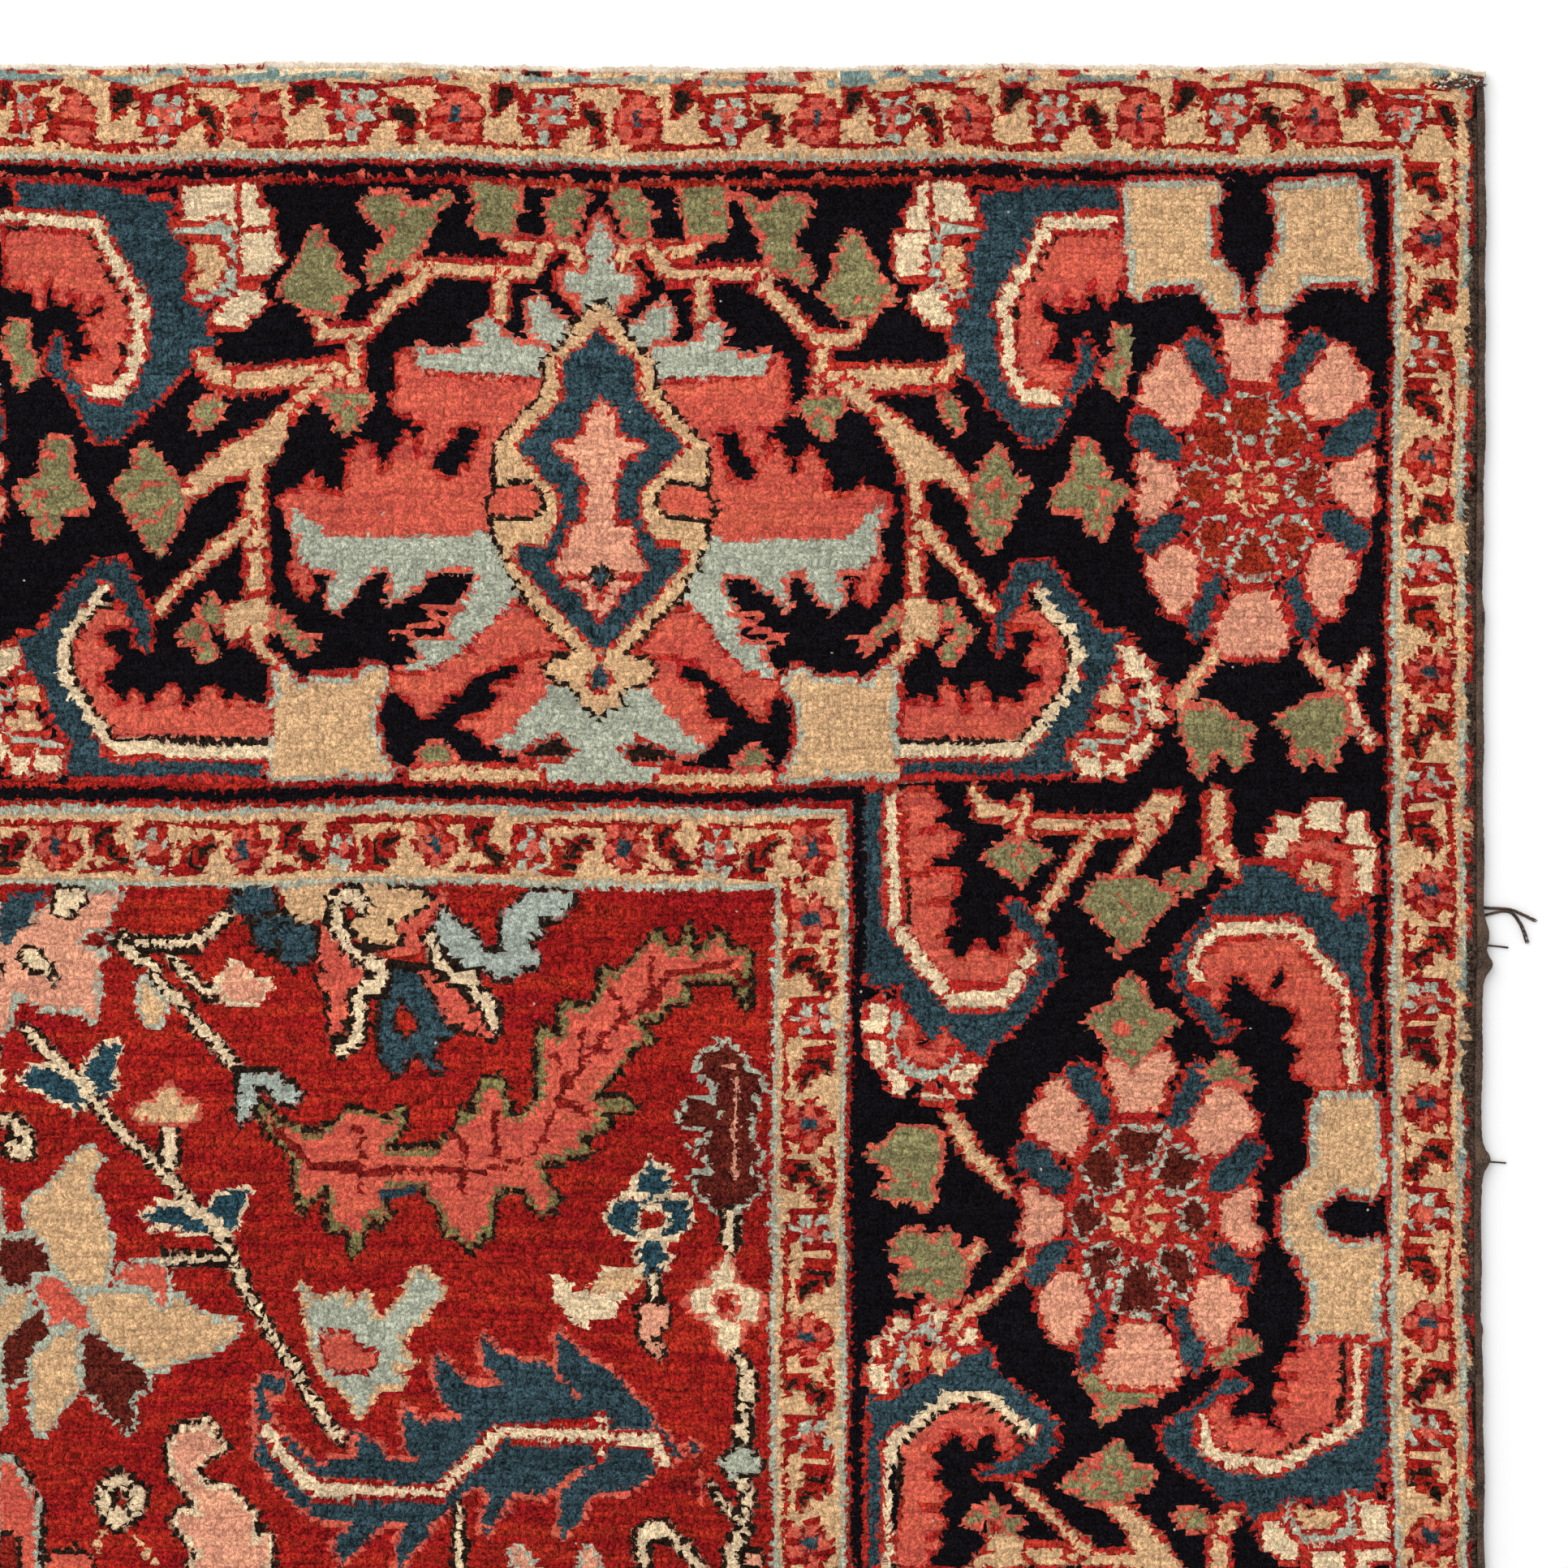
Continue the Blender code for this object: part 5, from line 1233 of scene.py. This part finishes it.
def rollPiece(name, roll, inside, outward, width, along, material, node, slot):  # a round edge with wound yarn
    sides = roll["sides"]
    turn = np.arange(sides) * math.tau / sides
    spin, rise = np.cos(turn)[None, :], np.sin(turn)[None, :]
    drift = rollShape["drift"] * np.sin(along[:, None] * rollShape["driftRate"])
    phase = (along[:, None] + roll["lean"] * spin) / roll["pitch"] + drift
    stray = rollShape["uneven"] * rng.normal(0.0, 1.0, (len(along), 1))
    ridge = roll["ridge"] * (np.abs(np.sin(math.pi * phase)) - rollShape["hollow"] + stray)
    ridge = np.clip(ridge, -roll["ridge"], roll["ridge"])
    reach = width[:, None] / 2
    full = np.sign(spin) * np.abs(spin) ** rollShape["squareness"]
    reach = reach + full * (reach - rollShape["skin"] + np.minimum(ridge, 0.0))
    places = np.empty((len(along), sides, 3))
    places[:, :, :2] = inside[:, None, :] + reach[:, :, None] * np.array(outward)
    height = roll["height"] / 2 + rise * (roll["height"] / 2 - rollShape["skin"] + ridge)
    places[:, :, 2] = np.maximum(height, rollShape["lowest"])
    ring, point = np.meshgrid(np.arange(len(along) - 1), np.arange(sides), indexing="ij")
    other = (point + 1) % sides
    quads = np.stack([ring * sides + point, ring * sides + other, (ring + 1) * sides + other,
                      (ring + 1) * sides + point], axis=-1)
    faces = [tuple(quad) for quad in quads.reshape(-1, 4).tolist()]
    last = (len(along) - 1) * sides
    faces += [tuple(range(sides))[::-1], tuple(last + place for place in range(sides))]
    ahead = inside[-1] - inside[0]
    if ahead[0] * outward[1] - ahead[1] * outward[0] < 0:  # the rings would face inwards
        faces = [face[::-1] for face in faces]
    strandPiece(name, [tuple(place) for place in places.reshape(-1, 3).tolist()], faces, material, node, slot)


selvedge = {
    "width": 0.0064,
    "height": 0.0082,
    "overlap": 0.0014,  # it bites a little into the side of the pile
    "pitch": 0.0044,  # one turn of goat hair
    "ringStep": 0.0022,
    "sides": 9,
    "lean": 0.0016,  # a turn runs a little along as it goes over
    "ridge": 0.00045,
    "swellings": (  # down from the end, half length, out
        (0.3370, 0.0065, 0.0011), (0.5330, 0.0085, 0.0030), (0.5515, 0.0062, 0.0052), (0.6715, 0.0066, 0.0050),
        (0.7770, 0.0055, 0.0013)),
    "shortBy": 0.0003,  # it stops a little short of the end's edge
    "widthWaves": ((0.0004, 97.0, 0.0), (0.0003, 41.0, 1.0)),  # swing, rate, start
    "parts": 6,
}


def swelling(down):
    return sum(out * np.exp(-((down - place) / half) ** 2) for place, half, out in selvedge["swellings"])


def wavy(width, roll, along):
    for swing, rate, begin in roll["widthWaves"]:
        width = width + swing * np.sin(along * rate + begin)
    return width


def selvedgePieces(side, node):
    topY = float(endAt(1, sideAt(side, edges["halfLength"]))) - selvedge["shortBy"]
    bottomY = float(endAt(-1, sideAt(side, -edges["halfLength"]))) + selvedge["shortBy"]
    stops = np.linspace(topY, bottomY, selvedge["parts"] + 1)
    for part, (fromY, toY) in enumerate(zip(stops, stops[1:]), 1):
        along = np.linspace(fromY, toY, int((fromY - toY) / selvedge["ringStep"]) + 1)
        inside = np.column_stack([sideAt(side, along) - side * selvedge["overlap"], along])
        width = selvedge["width"] + (swelling(edges["halfLength"] - along) if side > 0 else 0.0)
        rollPiece("%s_%d" % (node, part), selvedge, inside, (side, 0.0), wavy(width, selvedge, along), along, goatHair,
                  node, "goat_hair")
    print(node, "wrapped")


selvedgePieces(1, "selvedge_right")
selvedgePieces(-1, "selvedge_left")

looseEnds = {  # thick and thin, then places out from the selvedge and down from the end
    "long_end": (0.0015, 0.0006, (
        (-0.0022, 0.5165), (0.0100, 0.5170), (0.0160, 0.5180), (0.0225, 0.5210), (0.0290, 0.5245))),
    "hooked_end": (0.0014, 0.0006, (
        (-0.0022, 0.5212), (0.0080, 0.5188), (0.0135, 0.5190), (0.0172, 0.5218), (0.0197, 0.5290), (0.0230, 0.5380))),
    "short_end": (0.0010, 0.0005, ((-0.0022, 0.5396), (0.0045, 0.5402), (0.0115, 0.5410))),
    "small_end": (0.0009, 0.0005, ((-0.0022, 0.6733), (0.0045, 0.6737), (0.0087, 0.6740))),
}
twisting = {  # a few hairs twisted together, parting at the tip
    "hairs": 5,
    "sides": 6,
    "steps": 8,
    "hairShare": 0.48,
    "turn": 9.0,
    "spread": 0.5,
    "atRoot": 0.7,
    "opening": 0.9,
    "flatness": 0.6,
    "clearance": 0.0002,
}


def smoothRoute(points, steps):  # a curve through the points
    points = np.array(points, dtype=float)
    padded = np.vstack([2 * points[0] - points[1], points, 2 * points[-1] - points[-2]])
    out = []
    for at in range(1, len(padded) - 2):
        p0, p1, p2, p3 = padded[at - 1:at + 3]
        for t in np.linspace(0.0, 1.0, steps, endpoint=False):
            out.append(0.5 * ((2 * p1) + (p2 - p0) * t + (2 * p0 - 5 * p1 + 4 * p2 - p3) * t * t
                              + (3 * p1 - p0 - 3 * p2 + p3) * t ** 3))
    out.append(padded[-2])
    return np.array(out)


for name, (thick, thin, route) in looseEnds.items():
    points = []
    for out, down in route:
        y = edges["halfLength"] - down
        x = sideAt(1, y) + edges["gap"] + selvedge["width"] + swelling(down) + out
        points.append((float(x), float(y)))
    flatRoute = smoothRoute(points, twisting["steps"])
    share = np.linspace(0.0, 1.0, len(flatRoute))
    radius = (thick * (1 - share) + thin * share) * twisting["hairShare"]
    spread = thick * twisting["spread"] * (twisting["atRoot"] + twisting["opening"] * share ** 2)
    places, faces = [], []
    for hair in range(twisting["hairs"]):
        twist = hair * math.tau / twisting["hairs"] + share * twisting["turn"]
        rise = thick + twisting["clearance"] + spread * np.sin(twist)
        hairs = np.column_stack([flatRoute[:, 0] + spread * np.cos(twist),
                                 flatRoute[:, 1] + spread * np.sin(twist) * twisting["flatness"],
                                 np.maximum(rise, radius + twisting["clearance"])])
        addStrand(places, faces, hairs, radius, twisting["sides"])
    strandPiece(name, places, faces, goatHair, "selvedge_right", "goat_hair")
print("loose ends of the overcasting laid")

endWeb = {  # the cotton left beyond the knots, its worn warps felted into a soft ridge
    "width": 0.0052,
    "height": 0.0066,
    "overlap": 0.0012,
    "pitch": 0.0035,  # a pair of warps
    "ringStep": 0.00175,
    "sides": 8,
    "lean": 0.0004,
    "ridge": 0.00060,
    "uneven": 0.00042,  # how far single warps stand out or have worn off
    "parts": 3,
    "shortBy": 0.0006,  # it stops a little before the selvedge's outer side
    "cornerReach": 0.003,  # beyond it the end's edge is followed no further
    "widthWaves": ((0.0005, 83.0, 0.0), (0.0004, 29.0, 2.0)),
}


def webPieces(end, node):
    outside = selvedge["width"] - endWeb["shortBy"]
    leftX = float(sideAt(-1, end * edges["halfLength"])) - outside
    rightX = float(sideAt(1, end * edges["halfLength"])) + outside
    stops = np.linspace(leftX, rightX, endWeb["parts"] + 1)
    for part, (fromX, toX) in enumerate(zip(stops, stops[1:]), 1):
        along = np.linspace(fromX, toX, int((toX - fromX) / endWeb["ringStep"]) + 1)
        edge = endAt(end, np.minimum(along, edges["halfWidth"] + endWeb["cornerReach"]))
        inside = np.column_stack([along, edge - end * endWeb["overlap"]])
        width = wavy(endWeb["width"], endWeb, along) + rng.normal(0.0, endWeb["uneven"], len(along))
        rollPiece("%s_%d" % (node, part), endWeb, inside, (0.0, end), width, along, cottonYarn, node, "cotton_web")
    print(node, "felted")


webPieces(1, "end_web_top")
webPieces(-1, "end_web_bottom")

strayTufts = {  # red wool caught in the top web, and the yarns that have come loose at the worn corner
    "redAcross": (  # on the design sheet
        10, 65, 160, 178, 198, 235, 279, 297, 321, 604, 622, 645, 702, 868, 1110, 1242, 1340, 1482, 1604),
    "redYarns": (5, 11),
    "redSpread": 0.0016,
    "redFromEdge": (-0.0015, 0.0012),
    "redHeight": 0.0066,
    "redLength": (0.0012, 0.0030),
    "corner": (1772, 1822, 97, 107),  # where the loose yarns start on the design sheet: from, to across, from, to down
    "cornerHeight": 0.0086,
    "yarns": (
        ("corner_dark_ends", 96, "goat_hair"), ("corner_pale_ends", 34, "cotton_web"),
        ("corner_red_ends", 12, "wool_pile")),
    "length": (0.0030, 0.0066),
    "swerve": 0.45,
    "backwards": 0.22,  # share that lies back over the pile
}
tuftShape = {
    "thickness": 0.00062,
    "thicknesses": (0.7, 1.2),  # shares of it, from yarn to yarn
    "taper": (1.0, 1.0, 0.8, 0.3),
    "bend": 0.5,
    "rise": (0.0004, 0.0007),  # mean and spread, step by step
    "droop": 0.0004,
    "lowest": 0.0008,
    "sides": 5,
}


def onFloor(across, down):  # a place on the design sheet as a place on the floor
    x = edges["halfWidth"] - (sheetRight - across) * sheetRule
    return x, edges["halfLength"] - (down - sheetTop) * sheetRule


def looseYarns(name, starts, angles, length, material, node, slot):
    places, faces = [], []
    steps = len(tuftShape["taper"]) - 1
    for (x, y, z), angle in zip(starts, angles):
        reach = float(rng.uniform(*length))
        bend = float(rng.normal(0.0, tuftShape["bend"]))
        points = [(x, y, z)]
        for step in range(steps):
            x, y = x + math.cos(angle) * reach / steps, y + math.sin(angle) * reach / steps
            z = max(z + float(rng.normal(*tuftShape["rise"])) - tuftShape["droop"] * step, tuftShape["lowest"])
            angle += bend
            points.append((x, y, z))
        thick = tuftShape["thickness"] * float(rng.uniform(*tuftShape["thicknesses"]))
        addStrand(places, faces, points, [thick * share for share in tuftShape["taper"]], tuftShape["sides"])
    strandPiece(name, places, faces, material, node, slot)


starts, angles = [], []
for across in strayTufts["redAcross"]:
    x = onFloor(across, 0)[0]
    for yarn in range(int(rng.integers(*strayTufts["redYarns"]))):
        place = x + float(rng.normal(0.0, strayTufts["redSpread"]))
        y = float(endAt(1, place)) + float(rng.uniform(*strayTufts["redFromEdge"]))
        starts.append((place, y, strayTufts["redHeight"]))
        angles.append(float(rng.uniform(0.0, math.tau)))
looseYarns("stray_red_tufts", starts, angles, strayTufts["redLength"], looseWool, "end_web_top", "wool_pile")
fromAcross, toAcross, fromDown, toDown = strayTufts["corner"]
for (name, count, slot), material in zip(strayTufts["yarns"], (goatHair, cottonYarn, looseWool)):
    starts, angles = [], []
    for yarn in range(count):
        across, down = float(rng.uniform(fromAcross, toAcross)), float(rng.uniform(fromDown, toDown))
        starts.append((*onFloor(across, down), strayTufts["cornerHeight"]))
    for yarn in range(count):
        swerve = float(rng.normal(0.0, strayTufts["swerve"]))
        angles.append(swerve + (math.pi if rng.random() < strayTufts["backwards"] else 0.0))
    looseYarns(name, starts, angles, strayTufts["length"], material, "selvedge_right", slot)
print("loose yarns laid")

stage = {
    "floorSize": 80.0,
    "floorDrop": 0.0002,  # below the carpet's back
    "floorColour": "FFFFFF",
    "skyStrength": 0.74,
    "lampPower": 190.0,
    "lampSize": 5.0,
    "lampPlace": (-1.6, 4.4, 4.6),
    "lampAim": (0.6, 1.3, 0.0),
}

floorMesh = bpy.data.meshes.new("studio_floor")
half, drop = stage["floorSize"] / 2, stage["floorDrop"]
floorMesh.from_pydata([(-half, -half, -drop), (half, -half, -drop), (half, half, -drop), (-half, half, -drop)], [],
                      [(0, 1, 2, 3)])
floor = bpy.data.objects.new("studio_floor", floorMesh)
bpy.context.collection.objects.link(floor)
floorMaterial, floorTree = newMaterial("white studio paper")
paper = addNode(floorTree, "BsdfPrincipled", {"Base Color": linear(stage["floorColour"]), "Roughness": 0.9,
                                              "Specular IOR Level": 0.1})
addNode(floorTree, "OutputMaterial", {}, {"Surface": (paper, "BSDF")})
floorMesh.materials.append(floorMaterial)

world = bpy.data.worlds.new("studio")
bpy.context.scene.world = world
world.use_nodes = True
world.node_tree.nodes["Background"].inputs["Color"].default_value = (1.0, 1.0, 1.0, 1.0)
world.node_tree.nodes["Background"].inputs["Strength"].default_value = stage["skyStrength"]

lampData = bpy.data.lights.new("softbox", "AREA")
lampData.shape = "SQUARE"
lampData.size = stage["lampSize"]
lampData.energy = stage["lampPower"]
lamp = bpy.data.objects.new("softbox", lampData)
bpy.context.collection.objects.link(lamp)
lamp.location = stage["lampPlace"]
aim = np.array(stage["lampAim"]) - np.array(stage["lampPlace"])
lamp.rotation_euler = (math.acos(-aim[2] / np.linalg.norm(aim)), 0.0, math.atan2(aim[1], aim[0]) - math.pi / 2)

photoView = {"lens": 120.0, "sensor": 36.0, "above": 3.22, "middle": (0.93275, 1.481875)}
cameraData = bpy.data.cameras.new("camera")
cameraData.lens = photoView["lens"]
cameraData.sensor_width = photoView["sensor"]
cameraData.clip_end = 50.0
camera = bpy.data.objects.new("camera", cameraData)
bpy.context.collection.objects.link(camera)
camera.location = (*photoView["middle"], edges["pileTop"] + photoView["above"])
bpy.context.scene.camera = camera
bpy.context.scene.view_settings.view_transform = "Standard"
print("stage set")
